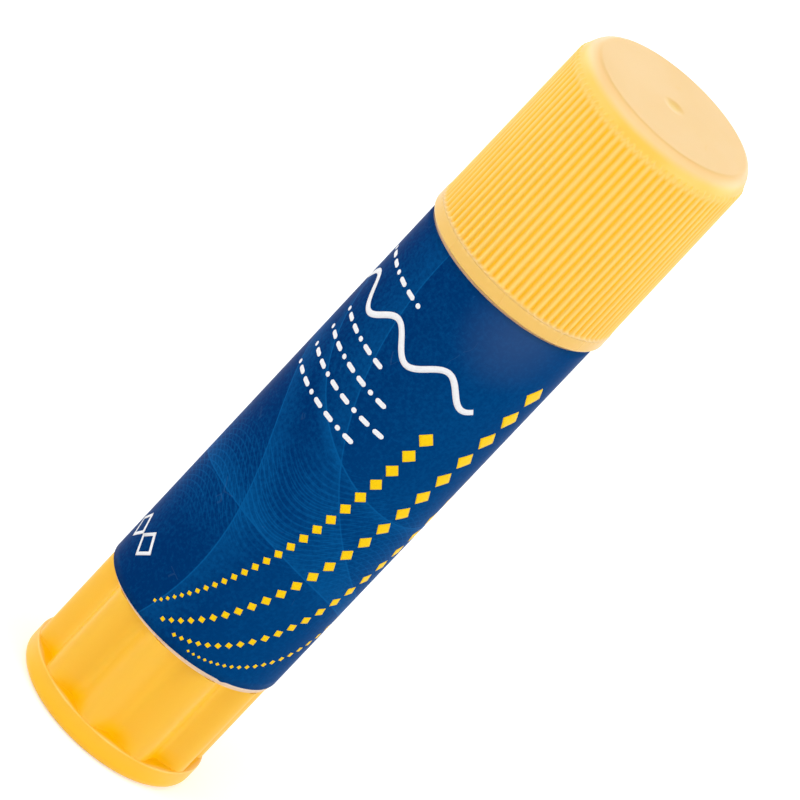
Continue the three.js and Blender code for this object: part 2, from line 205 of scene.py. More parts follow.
def arc(middle: Row, reach: float | Array, ends: tuple[float, float], count: int,
        rise: float | Array | None = None) -> list[Row]:
    """Rows of an arc of a half section.

    Args:
        middle: Radius and height of the arc's middle.
        reach: The arc's radius, across.
        ends: Angles of the first and last row, from straight outwards and growing upwards.
        count: Count of rows.
        rise: The arc's radius upwards, where it differs.

    Returns:
        The rows.
    """
    upwards = reach if rise is None else rise
    return [(middle[0] + reach * np.cos(t), middle[1] + upwards * np.sin(t))
            for t in np.linspace(*ends, count)]


def spread(rows: list[tuple], column: int, angles: Array) -> Array:
    """One value of each row, repeated for all angles where it is a plain number."""
    return np.stack([np.broadcast_to(np.asarray(row[column], float), angles.shape) for row in rows])


def turned(rows: list[Row], angles: Array) -> Array:
    """Grid of points that a half section sweeps about the stick's axis.

    A point at radius r and angle a from the front is (r sin a, -r cos a, height).

    Args:
        rows: (radius, height) of each row. Either may be an array with a value for each angle.
        angles: Angle of each column, from the front.

    Returns:
        Points of shape rows x columns x 3, in millimetres.
    """
    radius, height = (spread(rows, column, angles) for column in (0, 1))
    return np.stack([radius * np.sin(angles), -radius * np.cos(angles), height], axis=-1)


def as_object(name: str, points: Array, faces: list[list[int]]) -> Piece:
    """Smooth-shaded mesh object at the origin.

    Args:
        name: Name of the piece.
        points: Points in millimetres, one a row.
        faces: Point numbers of each face, anticlockwise seen from outside.

    Returns:
        The object, linked to the scene.
    """
    mesh = bpy.data.meshes.new(name)
    mesh.from_pydata((points * METRES).tolist(), [], faces)
    mesh.polygons.foreach_set("use_smooth", np.ones(len(mesh.polygons), bool))
    mesh.validate()
    mesh.update()
    piece = bpy.data.objects.new(name, mesh)
    bpy.context.scene.collection.objects.link(piece)
    return piece


def quads(ids: Array, after: Array) -> list[list[int]]:
    """Faces between the rows of a grid of point numbers, where after holds each point's neighbour."""
    return np.stack([ids[:-1], after[:-1], after[1:], ids[1:]], axis=-1).reshape(-1, 4).tolist()


def skin(name: str, grid: Array, looped: bool = False, **marks: Array) -> Piece:
    """Closed surface over a grid whose columns run round the stick.

    Rows whose points all coincide are poles: they become one point and a fan of triangles. Without
    poles the section is looped, and the last row joins the first.

    Args:
        name: Name of the piece.
        grid: Points of shape rows x columns x 3, in millimetres, as turned gives them.
        looped: Whether the last row joins the first.
        **marks: A value for each grid point, kept as an attribute of that name. Poles get 0.

    Returns:
        The object.
    """
    near, far = (not looped and float(np.ptp(grid[k], axis=0).max()) < 1e-9 for k in (0, -1))
    inner = slice(int(near), len(grid) - int(far))
    body = grid[inner]
    points = body.reshape(-1, 3)
    ids = np.arange(len(points)).reshape(body.shape[:2])
    ring = np.vstack([ids, ids[:1]]) if looped else ids
    faces = quads(ring, np.roll(ring, -1, axis=1))
    for is_pole, row, tip in ((near, 0, grid[0, 0]), (far, -1, grid[-1, 0])):
        if not is_pole:
            continue
        tips = np.full(ids.shape[1], len(points))
        points = np.vstack([points, tip])
        this, beside = ids[row], np.roll(ids[row], -1)
        order = [tips, beside, this] if row == 0 else [this, beside, tips]
        faces += np.stack(order, axis=-1).tolist()
    piece = as_object(name, points, faces)
    for label, values in marks.items():
        kept = np.zeros(len(points), np.float32)
        kept[:body[..., 0].size] = values[inner].ravel()
        piece.data.attributes.new(label, "FLOAT", "POINT").data.foreach_set("value", kept)
    return piece


@dataclass(frozen=True)
class Thread:
    """Left-handed thread: radii of root and crest, and the shares of the lead of the crest and a flank."""

    core: float
    crest: float
    crest_share: float
    flank_share: float = 0.09
    lead: float = 5.0

    def radius(self, angles: Array, height: float) -> Array:
        """Radius at each angle, at one height.

        The phase is the angle plus one turn for each lead of height. The radius is the crest's where the
        phase is within half the crest's share, the core's beyond a flank more, and falls evenly between.
        """
        phase = np.abs((angles / TURN + height / self.lead + 0.5) % 1.0 - 0.5)
        half = self.crest_share / 2
        return self.crest - (self.crest - self.core) * ease(phase, half, half + self.flank_share)


# Shader nodes


class Value:
    """A shader value. Arithmetic on it, with numbers or other values, adds Math nodes to its tree."""

    def __init__(self, graph: "Graph", socket: Socket) -> None:
        """Wraps a socket of the graph's tree."""
        self.graph, self.socket = graph, socket

    def math(self, operation: str, *others: object) -> "Value":
        """Result of a Math node on this value and up to two others."""
        feeds = dict(enumerate((self, *others)))
        return self.graph.get("ShaderNodeMath", 0, feeds, operation=operation)

    __add__ = __radd__ = partialmethod(math, "ADD")
    __sub__ = partialmethod(math, "SUBTRACT")
    __mul__ = partialmethod(math, "MULTIPLY")
    __truediv__ = partialmethod(math, "DIVIDE")
    __lt__ = partialmethod(math, "LESS_THAN")
    __abs__ = partialmethod(math, "ABSOLUTE")

    def span(self, low: float, high: float, to_low: float = 0.0, to_high: float = 1.0,
             smooth: bool = False) -> "Value":
        """This value moved from one range to another, and held inside the second.

        Args:
            low: Value that becomes to_low.
            high: Value that becomes to_high.
            to_low: First end of the result.
            to_high: Second end of the result.
            smooth: Whether the change eases in and out.

        Returns:
            The result.
        """
        feeds = {"Value": self, "From Min": low, "From Max": high, "To Min": to_low, "To Max": to_high}
        kind = "SMOOTHSTEP" if smooth else "LINEAR"
        return self.graph.get("ShaderNodeMapRange", 0, feeds, interpolation_type=kind)


class Graph:
    """Places and links the nodes of one shader tree."""

    def __init__(self, tree: bpy.types.NodeTree) -> None:
        """Works on the given tree."""
        self.tree = tree

    def link(self, value: Value, socket: Socket) -> None:
        """Feeds a value to an input."""
        self.tree.links.new(value.socket, socket)

    def put(self, kind: str, feeds: dict | None = None, **settings: object) -> bpy.types.Node:
        """New node.

        Args:
            kind: Blender's name of the node type.
            feeds: Constant or Value for each input, by name or number. Colours get full alpha.
            **settings: Properties of the node.

        Returns:
            The node.
        """
        node = self.tree.nodes.new(kind)
        for key, value in settings.items():
            setattr(node, key, value)
        for key, value in (feeds or {}).items():
            socket = node.inputs[key]
            if isinstance(value, Value):
                self.link(value, socket)
            else:
                socket.default_value = (*value, 1.0) if socket.type == "RGBA" else value
        return node

    def read(self, node: bpy.types.Node, *outputs: str | int) -> list[Value]:
        """Values of some outputs of a node."""
        return [Value(self, node.outputs[output]) for output in outputs]

    def get(self, kind: str, output: str | int, feeds: dict | None = None, **settings: object) -> Value:
        """Value of one output of a new node."""
        return self.read(self.put(kind, feeds, **settings), output)[0]

    def vector(self, operation: str, *feeds: object) -> Value:
        """Vector result of a Vector Math node."""
        return self.get("ShaderNodeVectorMath", 0, dict(enumerate(feeds)), operation=operation)

    def noise(self, place: Value, scale: object, detail: float = 3.0, rough: float = 0.5,
              warp: float = 0.0) -> Value:
        """Noise of 0 to 1 whose clouds are about 1 / scale metres wide on object coordinates."""
        return self.get("ShaderNodeTexNoise", 0, {
            "Vector": place, "Scale": scale, "Detail": detail, "Roughness": rough, "Distortion": warp})

    def mix(self, factor: Value, first: object, second: object) -> Value:
        """Colour that goes from first to second as factor goes from 0 to 1."""
        return self.get("ShaderNodeMix", 2, {0: factor, 6: first, 7: second}, data_type="RGBA")

    def bump(self, height: Value, strength: float, depth: float) -> Value:
        """Normal of a surface whose height of 1 stands for the given millimetres."""
        return self.get("ShaderNodeBump", 0, {
            "Height": height, "Strength": strength, "Distance": depth * METRES})

    def mask(self, group: bpy.types.NodeTree, place: Value, **feeds: float) -> Value:
        """Mask of a shared effect at a place."""
        return self.get("ShaderNodeGroup", "Mask", {"Place": place, **feeds}, node_tree=group)


class Effects:
    """Shader node groups that several finishes share. Each is built once."""

    def __init__(self) -> None:
        """Builds all groups."""
        self.moulding = self._moulding()
        self.scratches = self._scratches()
        self.dust = self._dust()

    @staticmethod
    def _begin(name: str, inputs: dict[str, float], *outputs: str) -> tuple[Graph, dict, object]:
        """Empty group that reads a place and some plain values.

        Args:
            name: Name of the group.
            inputs: Default of each plain input, by name.
            *outputs: Names of the outputs, all plain values.

        Returns:
            The group's graph, the values of its inputs, and the sockets that take its outputs.
        """
        tree = bpy.data.node_groups.new(name, "ShaderNodeTree")
        tree.interface.new_socket("Place", in_out="INPUT", socket_type="NodeSocketVector")
        for label, default in inputs.items():
            socket = tree.interface.new_socket(label, in_out="INPUT", socket_type="NodeSocketFloat")
            socket.default_value = default
        for label in outputs:
            tree.interface.new_socket(label, in_out="OUTPUT", socket_type="NodeSocketFloat")
        graph = Graph(tree)
        labels = ("Place", *inputs)
        given = dict(zip(labels, graph.read(graph.put("NodeGroupInput"), *labels)))
        return graph, given, graph.put("NodeGroupOutput").inputs

    def _moulding(self) -> bpy.types.NodeTree:
        """Moulded plastic: a fine etched grain and faint flow clouds drawn out along the stick."""
        graph, given, wanted = self._begin("moulded_surface", {"Grain": 5200.0, "Flow": 130.0},
                                           "Height", "Clouds")
        place, swell_scale, swell_share, drawn_out = given["Place"], 420.0, 0.6, (1.0, 1.0, 0.35)
        grain = graph.noise(place, given["Grain"], 2.0, 0.6)
        graph.link(graph.noise(place, swell_scale, 2.0) * swell_share + grain, wanted["Height"])
        clouds = graph.noise(graph.vector("MULTIPLY", place, drawn_out), given["Flow"], 4.0, warp=0.6)
        graph.link(clouds.span(*MOST), wanted["Clouds"])
        return graph.tree

    def _scratches(self) -> bpy.types.NodeTree:
        """Short hairline scratches: edges of stretched, bent cells, kept only in scattered patches."""
        graph, given, wanted = self._begin(
            "hairline_scratches", {"Cells": 160.0, "Width": 0.012, "Cover": 0.3}, "Mask")
        place, bend_scale, bend_reach, patch_scale = given["Place"], 240.0, 0.0025, 330.0
        bend = graph.get("ShaderNodeTexNoise", 1, {"Vector": place, "Scale": bend_scale})
        bent = graph.vector("MULTIPLY_ADD", bend, (bend_reach,) * 3, place)
        masks = []
        # How each of two sets of cells is stretched and shifted, and how its patches are shifted.
        for stretch, shift, patch_shift in (((1.0, 1.0, 0.22), (0.0, 0.0, 0.0), (0.0, 0.2, 0.0)),
                                            ((0.3, 0.3, 1.0), (0.37, 0.0, 0.11), (0.5, 0.2, 0.0))):
            moved = graph.vector("MULTIPLY_ADD", bent, stretch, shift)
            edge = graph.get("ShaderNodeTexVoronoi", "Distance", {"Vector": moved, "Scale": given["Cells"]},
                             feature="DISTANCE_TO_EDGE")
            patch = graph.noise(graph.vector("ADD", place, patch_shift), patch_scale, 1.0)
            masks.append((edge < given["Width"]) * (patch < given["Cover"]))
        graph.link(masks[0].math("MAXIMUM", masks[1]), wanted["Mask"])
        return graph.tree

    def _dust(self) -> bpy.types.NodeTree:
        """Scattered specks: round spots at the middles of a few of many cells."""
        graph, given, wanted = self._begin(
            "dust_specks", {"Cells": 260.0, "Radius": 0.05, "Share": 0.05}, "Mask")
        cells = graph.put("ShaderNodeTexVoronoi", {"Vector": given["Place"], "Scale": given["Cells"]})
        distance, shade = graph.read(cells, "Distance", "Color")
        chance, size = graph.read(graph.put("ShaderNodeSeparateColor", {0: shade}), 0, 1)
        least_size = 0.35
        spot = distance < given["Radius"] * (size + least_size)
        graph.link(spot * (chance < given["Share"]), wanted["Mask"])
        return graph.tree


def new_material(name: str) -> tuple[Material, Graph, Socket]:
    """Empty material, with its graph and its output's surface socket."""
    material = bpy.data.materials.new(name)
    material.use_nodes = True
    material.node_tree.nodes.clear()
    graph = Graph(material.node_tree)
    return material, graph, graph.put("ShaderNodeOutputMaterial").inputs["Surface"]


@dataclass(frozen=True)
class Finish:
    """A finish, which becomes one material with a Principled BSDF. Each kind says what feeds that."""

    name: str

    def _feeds(self, graph: Graph, effects: Effects, place: Value) -> dict[str, object]:
        """Constant or value for each input of the shader.

        Args:
            graph: The material's graph.
            effects: Shared node groups.
            place: Object coordinates.

        Returns:
            The feeds, by input.
        """
        raise NotImplementedError

    def material(self, effects: Effects) -> Material:
        """Builds the material from the shared node groups."""
        material, graph, surface = new_material(self.name)
        feeds = self._feeds(graph, effects, graph.get("ShaderNodeTexCoord", "Object"))
        graph.link(graph.get("ShaderNodeBsdfPrincipled", 0, feeds), surface)
        return material


@dataclass(frozen=True)
class MouldedPlastic(Finish):
    """Satin moulded plastic that glows a little, with painted shade in grooves and shaded places, and
    painted sheen where light glances off.
    """

    colour: Colour
    deep_shade_colour: Colour
    polished_shade_colour: Colour
    sheen_colour: Colour
    speck_colour: Colour
    roughness: tuple[float, float]
    glow_reach: Colour
    glow: float = 0.12
    shine: float = 0.5
    shade_shine: float = 0.2
    shine_under_sheen: float = 0.3
    speck_share: float = 0.006
    speck_strength: float = 0.6
    cloud_shade: float = 0.97
    wear: float = 0.06
    scratch_height: float = -0.15
    grain_depth: float = 0.012

    def _feeds(self, graph: Graph, effects: Effects, place: Value) -> dict[str, object]:
        """Clouds, grain, scratches and specks, and the mesh's marks of painted shade, of polish with painted
        shade, and of painted sheen.
        """
        moulding = graph.put("ShaderNodeGroup", {"Place": place}, node_tree=effects.moulding)
        clouds, grain = graph.read(moulding, "Clouds", "Height")
        scratches = graph.mask(effects.scratches, place, Cover=0.3)
        dust = graph.mask(effects.dust, place, Share=self.speck_share)
        painted_shade, polish_and_shade, painted_sheen = (graph.get("ShaderNodeAttribute", "Fac", attribute_name=mark)
                                 for mark in (PAINTED_SHADE, POLISH_AND_SHADE, PAINTED_SHEEN))
        faded = graph.mix(clouds, self.colour, tuple(self.cloud_shade * c for c in self.colour))
        # Painted shade: towards a deeper, more saturated colour that stands in for shade and light bounced
        # in hollows.
        deep = graph.mix(painted_shade, faded, self.deep_shade_colour)
        # Painted shade on polished places, then painted sheen: a paler colour that stands in for light
        # glancing off.
        shaded = graph.mix(painted_sheen, graph.mix(polish_and_shade, deep, self.polished_shade_colour), self.sheen_colour)
        rough = clouds.span(0.0, 1.0, *self.roughness)
        # Shine falls where painted shade is, and again where painted sheen already stands in for the
        # glancing light.
        dull = painted_shade.span(0.0, 1.0, self.shine, self.shade_shine * self.shine)
        return {"Base Color": graph.mix(dust * self.speck_strength, shaded, self.speck_colour),
                "Roughness": rough + scratches * self.wear + polish_and_shade * -self.wear,
                "Normal": graph.bump(grain + scratches * self.scratch_height, 0.5, self.grain_depth),
                "IOR": 1.49, "Specular IOR Level": dull * painted_sheen.span(0.0, 1.0, 1.0, self.shine_under_sheen),
                "Subsurface Weight": self.glow, "Subsurface Radius": self.glow_reach,
                "Subsurface Scale": METRES}


@dataclass(frozen=True)
class PrintedFilm(Finish):
    """Deep blue printed film with broad soft arcs and a woven field of hairlines in a lighter blue."""

    name: str = "blue_printed_film"
    colour: Colour = (0.0, 0.028, 0.133)
    # Colour of the film's lit side: painted light, paler towards the right.
    right_lit_colour: Colour = (0.0, 0.047, 0.182)
    light_colour: Colour = (0.002, 0.09, 0.285)
    scratch_colour: Colour = (0.16, 0.3, 0.5)
    # Colour and strength of a patch of painted light just under the cap's lip.
    light_patch_colour: Colour = (0.05, 0.1, 0.24)
    light_patch_strength: float = 0.55
    roughness: tuple[float, float] = (0.31, 0.4)
    shine: float = 0.004
    cloud_scale: float = 70.0
    cloud_tone: float = 0.28
    mottle_scale: float = 2700.0
    mottle: float = 0.25
    scuff_tone: float = 0.05
    scuff_wear: float = 0.2
    scuff_height: float = -0.5
    dust_tone: float = 0.55
    ripple_scale: float = 900.0
    ripple_depth: float = 0.006
    arc_tint: float = 0.55
    arc_rim: float = 0.08
    arc_line: tuple[float, float] = (0.03, 0.1)
    hairline_tone: float = 0.42
    hairline_swing: float = 2.4
    hairline_edge: tuple[float, float] = (0.06, 0.13)
    band_height: float = 30.0
    band_swing: float = 4.0
    band_phase: float = 0.8
    band_fade: tuple[float, float] = (2.0, 8.5)

    # Middle across, middle up, radius, width and strength of each soft arc, in millimetres.
    arcs: tuple = ((-30.0, 22.0, 27.0, 3.4, 0.75), (31.0, 60.0, 37.0, 5.0, 0.6),
                   (-4.0, -9.0, 38.0, 2.6, 0.7), (12.0, 66.0, 29.0, 1.2, 0.75))

    # Slope, pitch in millimetres and phase of the wave of each set of hairlines.
    weaves: tuple = ((0.18, 0.62, 1.9), (-0.26, 0.71, 1.3))

    # Middle across, middle up and reach of a paler patch of painted light on the film, just under the cap's
    # lip.
    light_patch_place: tuple = (4.6, 60.0, 7.0)

    @staticmethod
    def _distance(across: Value, up: Value, middle: float, height: float) -> Value:
        """Distance from a point of the print, given across and up."""
        aside, above = across - middle, up - height
        return (aside * aside + above * above).math("SQRT")

    def _arcs(self, across: Value, up: Value) -> Value:
        """Sum of the arcs, each a thin line on its circle with a tint that fades outwards."""
        total: object = 0.0
        for middle, height, radius, width, strength in self.arcs:
            past = self._distance(across, up, middle, height) - radius
            fading = past.span(0.0, width, self.arc_tint * strength, 0.0)
            total = total + fading * past.span(-self.arc_rim, self.arc_rim)
            total = total + abs(past).span(*self.arc_line, strength, 0.0)
        return total

    def _hairlines(self, across: Value, up: Value) -> Value:
        """Thin wavy lines in two slanting sets, inside a band that rises and falls round the stick."""
        marks = []
        for slope, pitch, wave in self.weaves:
            swing = (across * (3 * TURN / WRAP_ROUND) + wave).math("SINE")
            stripe = ((across * slope + swing * self.hairline_swing + up) / pitch).math("PINGPONG", 0.5)
            marks.append(stripe.span(*self.hairline_edge, 1.0, 0.0))
        rise = (across * (TURN / WRAP_ROUND) + self.band_phase).math("SINE") * self.band_swing
        inside = abs(up - (rise + self.band_height)).span(*self.band_fade, 1.0, 0.0, True)
        return marks[0].math("MAXIMUM", marks[1]) * inside

    def _feeds(self, graph: Graph, effects: Effects, place: Value) -> dict[str, object]:
        """The print, its mottle, a patch of painted light under the cap's lip, painted light on the right
        side, scuffs and dust.
        """
        wrap = graph.get("ShaderNodeUVMap", 0, uv_map=WRAP_MAP)
        flat = graph.put("ShaderNodeSeparateXYZ", {0: graph.vector("MULTIPLY", wrap, (WRAP_SPAN,) * 3)})
        across, up = graph.read(flat, 0, 1)
        across = across - WRAP_SPAN / 2
        cloud = graph.noise(place, self.cloud_scale)
        mottle = graph.noise(place, self.mottle_scale, 3.0, 0.65).span(*MOST, -self.mottle, self.mottle)
        tone = self._hairlines(across, up) * self.hairline_tone + self._arcs(across, up)
        tone = tone + cloud.span(*UPPER, 0.0, self.cloud_tone) + mottle
        # Painted light: the film is paler towards the right side and darker towards the left, as if lit more
        # from the right.
        side = (across * (TURN / WRAP_ROUND)).math("SINE").span(-0.9, 0.9, smooth=True)
        printed = graph.mix(tone, graph.mix(side, self.colour, self.right_lit_colour), self.light_colour)
        # Painted light: a paler, greyer patch just under the cap's lip.
        *middle, reach = self.light_patch_place
        near = self._distance(across, up, *middle).span(0.0, reach, self.light_patch_strength, 0.0, True)
        patch_lit = graph.mix(near * cloud.span(0.25, 0.6, 0.55, 1.0), printed, self.light_patch_colour)
        scuffs = graph.mask(effects.scratches, place, Cells=170.0, Width=0.005, Cover=0.32)
        dust = graph.mask(effects.dust, place, Cells=420.0, Radius=0.07, Share=0.03)
        marked = (scuffs * self.scuff_tone).math("MAXIMUM", dust * self.dust_tone)
        rough = cloud.span(*MOST, *self.roughness) + scuffs * self.scuff_wear
        ripple = graph.noise(place, self.ripple_scale, 2.0) + scuffs * self.scuff_height
        return {"Base Color": graph.mix(marked, patch_lit, self.scratch_colour), "Roughness": rough,
                "Normal": graph.bump(ripple, 0.35, self.ripple_depth),
                "IOR": 1.5, "Specular IOR Level": self.shine}


@dataclass(frozen=True)
class PrintingInk(Finish):
    """Opaque ink with the faint mottle of a printing screen."""

    colour: Colour
    mottle: float = 0.06
    wear: float = 0.5
    roughness: tuple[float, float] = (0.35, 0.48)
    shine: float = 0.1
    screen_scale: float = 5200.0
    screen_depth: float = 0.004

    def _feeds(self, graph: Graph, effects: Effects, place: Value) -> dict[str, object]:
        """The screen's mottle, and scuffs."""
        screen = graph.noise(place, self.screen_scale, 1.0)
        worn = graph.mask(effects.scratches, place, Width=0.01) * self.wear + screen.span(*UPPER)
        darker = tuple(c * (1.0 - 2.0 * self.mottle) for c in self.colour)
        return {"Base Color": graph.mix(worn, self.colour, darker),
                "Roughness": screen.span(*MOST, *self.roughness),
                "Normal": graph.bump(screen, 0.25, self.screen_depth), "Specular IOR Level": self.shine}


@dataclass(frozen=True)
class CastAdhesive(Finish):
    """Off-white waxy adhesive with casting swirls, tiny pits and a soft glow."""

    name: str = "cast_adhesive"
    colour: Colour = (0.86, 0.83, 0.73)
    swirl_colour: Colour = (0.93, 0.92, 0.86)
    pit_colour: Colour = (0.55, 0.52, 0.44)
    pit_tone: float = 0.35
    pit_height: float = -2.0
    drag_height: float = -0.7
    roughness: tuple[float, float] = (0.38, 0.6)
    glow: float = 0.3
    glow_reach: Colour = (1.0, 0.85, 0.6)
    glow_scale: float = 1.2
    drag_depth: float = 0.03

    def _feeds(self, graph: Graph, effects: Effects, place: Value) -> dict[str, object]:
        """Swirls, pits and drag marks."""
        moulding = graph.put("ShaderNodeGroup", {"Place": place, "Grain": 1900.0, "Flow": 210.0},
                             node_tree=effects.moulding)
        clouds, grain = graph.read(moulding, "Clouds", "Height")
        pits = graph.mask(effects.dust, place, Cells=900.0, Radius=0.16, Share=0.12)
        drags = graph.mask(effects.scratches, place, Cells=220.0, Width=0.03, Cover=0.45)
        swirled = graph.mix(clouds, self.colour, self.swirl_colour)
        height = grain + pits * self.pit_height + drags * self.drag_height
        return {"Base Color": graph.mix(pits * self.pit_tone, swirled, self.pit_colour),
                "Roughness": clouds.span(0.0, 1.0, *self.roughness),
                "Normal": graph.bump(height, 0.6, self.drag_depth),
                "IOR": 1.45, "Subsurface Weight": self.glow, "Subsurface Radius": self.glow_reach,
                "Subsurface Scale": self.glow_scale * METRES}


@dataclass
class Finishes:
    """All materials of the stick."""

    effects: Effects

    def __post_init__(self) -> None:
        """Builds the materials."""
        knob, white, brown = (0.965, 0.52, 0.028), (0.83, 0.8, 0.74), (0.5, 0.2, 0.02)
        # In each plastic the deep colour is painted shade and bounced light, the polished colour is painted
        # shade on polished places, and the frosted colour is painted sheen and highlight.
        self.cap_yellow = MouldedPlastic(
            "cap_yellow_polypropylene", colour=(0.965, 0.62, 0.12), deep_shade_colour=(0.965, 0.505, 0.01),
            polished_shade_colour=(0.85, 0.5, 0.078), sheen_colour=(0.97, 0.645, 0.33), speck_colour=brown,
            roughness=(0.3, 0.39), glow_reach=(1.0, 0.6, 0.2), shine=0.9).material(self.effects)
        self.knob_yellow = MouldedPlastic(
            "knob_yellow_polypropylene", colour=knob, deep_shade_colour=(0.975, 0.56, 0.0), polished_shade_colour=knob,
            sheen_colour=(0.975, 0.62, 0.16), speck_colour=brown, roughness=(0.32, 0.41),
            glow_reach=(1.0, 0.55, 0.12)).material(self.effects)
        self.white = MouldedPlastic(
            "natural_polypropylene", colour=white, deep_shade_colour=(0.8, 0.56, 0.38), polished_shade_colour=white,
            sheen_colour=(0.85, 0.83, 0.78), speck_colour=(0.4, 0.36, 0.3), roughness=(0.38, 0.47),
            glow_reach=(1.0, 0.9, 0.75), glow=0.2, speck_share=0.004).material(self.effects)
        self.film = PrintedFilm().material(self.effects)
        # The film's cut edge: white film, tinted warm with painted shade and yellow light bounced from the
        # plastic.
        self.film_edge = PrintingInk("white_film_edge", (0.82, 0.74, 0.7)).material(self.effects)
        self.yellow_ink = PrintingInk("yellow_ink", (0.98, 0.62, 0.0), 0.04).material(self.effects)
        self.white_ink = PrintingInk("white_ink", (0.88, 0.88, 0.9), 0.03).material(self.effects)
        self.adhesive = CastAdhesive().material(self.effects)


def dress(piece: Piece, body: Body, slot: Slot, *materials: Material, stands_for: str | None = None) -> None:
    """Gives a piece its materials and its body, and hides the CAD node that it stands for.

    Args:
        piece: The new object.
        body: Body that it moves with.
        slot: The record's material slot. Not used.
        *materials: Materials for the mesh's slots, in order.
        stands_for: CAD node that it replaces, if any.
    """
    for material in materials:
        piece.data.materials.append(material)
    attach(piece, body.value)
    if stands_for:
        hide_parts(stands_for)
    log.info("%s: %d faces, on %s", piece.name, len(piece.data.polygons), body.value)


# Pieces


@dataclass(frozen=True)
class Part:
    """One part of the stick. Its foot, top and widest radius are those of the CAD node that it replaces."""

    foot: float
    top: float
    radius: float

    def build(self, finishes: Finishes) -> None:
        """Makes the part and puts it into the scene.

        Args:
            finishes: The stick's materials.
        """
        raise NotImplementedError


@dataclass(frozen=True)
class RibbedCap(Part):
    """Pull-off cap: band at the lip, upright ribs, a rounded shoulder and a flat top with a gate mark."""

    rib_top_radius: float = 9.98
    shoulder_reach: float = 1.5
    shoulder_rise: float = 3.15
    shoulder_blend: float = 0.12
    bore: float = 9.15
    bore_draft: float = 0.4
    bore_rounding: float = 1.2
    mouth: float = 73.3
    ceiling: float = 82.2
    edge: float = 0.38
    bore_edge: float = 0.2
    rib_count: int = 80
    rib_turn: float = 3.2
    rib_depth: float = 0.11
    rib_foot: float = 63.15
    rib_top: float = 81.9
    rib_end_drop: float = 0.55
    rib_flank: float = 0.4
    rib_foot_fade: tuple[float, float] = (-0.24, 0.18)
    rib_end_fade: tuple[float, float] = (-0.22, 0.14)
    groove_end_fade: tuple[float, float] = (-0.5, 0.14)
    band_crown: float = 0.05
    band_step: float = 0.05
    gate_radius: float = 1.2
    gate_depth: float = 0.13
    gate_fade: tuple[float, float] = (0.2, 1.1)
    # Painted sheen on the shoulder and the top: angles over which it grows and falls, in degrees, its peak,
    # and the top's own.
    sheen_rise: tuple[float, float] = (37.0, 58.0)
    sheen_fall: tuple[float, float] = (66.0, 90.0)
    sheen_peak: float = 0.82
    disc_sheen: float = 0.44
    # Painted shade on the top and on the shoulder.
    disc_shade: float = 0.3
    shoulder_shade: float = 0.46
    # A painted highlight line along the band's upper edge: its strength, how far below the ribs' foot it
    # lies, and its width.
    rim_highlight: float = 0.2
    rim_drop: float = 0.16
    rim_width: float = 0.09
    columns_per_rib: int = 12

    # Heights of the band's rows above its edge, then first, last and count of the rows from the ribs'
    # foot and from their top, and how far the rows between keep off both.
    band_rows: tuple[float, ...] = (0.15, 0.4, 0.75, 1.1, 1.35)
    rib_foot_rows: tuple[float, float, int] = (-0.26, 0.22, 9)
    rib_end_rows: tuple[float, float, int] = (-1.0, 0.4, 16)
    rib_insets: tuple[float, float] = (1.45, 1.4)
    shoulder_start: float = 0.48

    def _wall(self, height: float) -> float:
        """Radius of the ribs' crests, which falls evenly with height, by the draft."""
        share = (height - self.foot) / (self.rib_top - self.foot)
        return self.radius - (self.radius - self.rib_top_radius) * share

    def _climb(self, height: float) -> float:
        """How far up the shoulder's ellipse a height lies, as its angle: 0 at its foot, pi / 2 on top."""
        share = (height - self.top + self.shoulder_rise) / self.shoulder_rise
        return float(np.arcsin(np.clip(share, 0.0, 1.0)))

    def _sheen_at(self, climb: float) -> float:
        """Painted sheen at an angle of the shoulder's ellipse: it grows to its peak, then falls to the top's
        own.
        """
        grown = self.sheen_peak * float(ease(climb, *np.radians(self.sheen_rise)))
        return grown + (self.disc_sheen - self.sheen_peak) * float(ease(climb, *np.radians(self.sheen_fall)))

    def _shade_at(self, height: float) -> float:
        """Painted shade on the shoulder, which deepens its colour and dims its sheen: it grows at the ribs'
        ends, and eases to the top's own.
        """
        inwards = float(ease(self._climb(height), *np.radians(self.sheen_rise)))
        depth = self.shoulder_shade + (self.disc_shade - self.shoulder_shade) * inwards
        return depth * float(ease(height, self.rib_top - 0.7, self.rib_top))

    def _body(self, height: float) -> float:
        """Radius under the ribs: the lesser of the grooves' floor and the shoulder's ellipse.

        Where they differ by less than blend, blend * h^3 / 6 comes off, where h grows from 0 to 1 on
        the crease. That rounds it.
        """
        floor = self._wall(height) - self.rib_depth
        shoulder = self.rib_top_radius - self.shoulder_reach * (1.0 - np.cos(self._climb(height)))
        near = max(self.shoulder_blend - abs(floor - shoulder), 0.0) / self.shoulder_blend
        return min(floor, shoulder) - self.shoulder_blend * near**3 / 6.0

    def _wall_rows(self, angles: Array) -> list[tuple]:
        """Rows of the band and the ribs, each with its painted shade, its polish with painted shade, and its
        painted sheen.

        Below the ribs the wall is a band that draws in towards the lip. Above, the radius is the body's
        plus the share of the way out to the crests: the rib's rounded wave across one pitch, times the
        rounded end, which lies lower towards the rib's flanks.
        """
        phase = (angles - np.radians(self.rib_turn)) / TURN * self.rib_count
        rib = 0.5 + 0.5 * np.cos(TURN * phase)
        offset = np.abs((phase + 0.5) % 1.0 - 0.5)
        ends = self.rib_top - self.rib_end_drop * np.clip(offset / self.rib_flank, 0.0, 1.0) ** 2
        above, below = self.rib_insets
        rows = []
        for z in np.concatenate([
                self.foot + self.edge + np.array(self.band_rows),
                self.rib_foot + np.linspace(*self.rib_foot_rows),
                np.linspace(self.rib_foot + above, self.rib_top - below, 7),
                self.rib_top + np.linspace(*self.rib_end_rows)]):
            ribbed = ease(z - self.rib_foot, *self.rib_foot_fade)
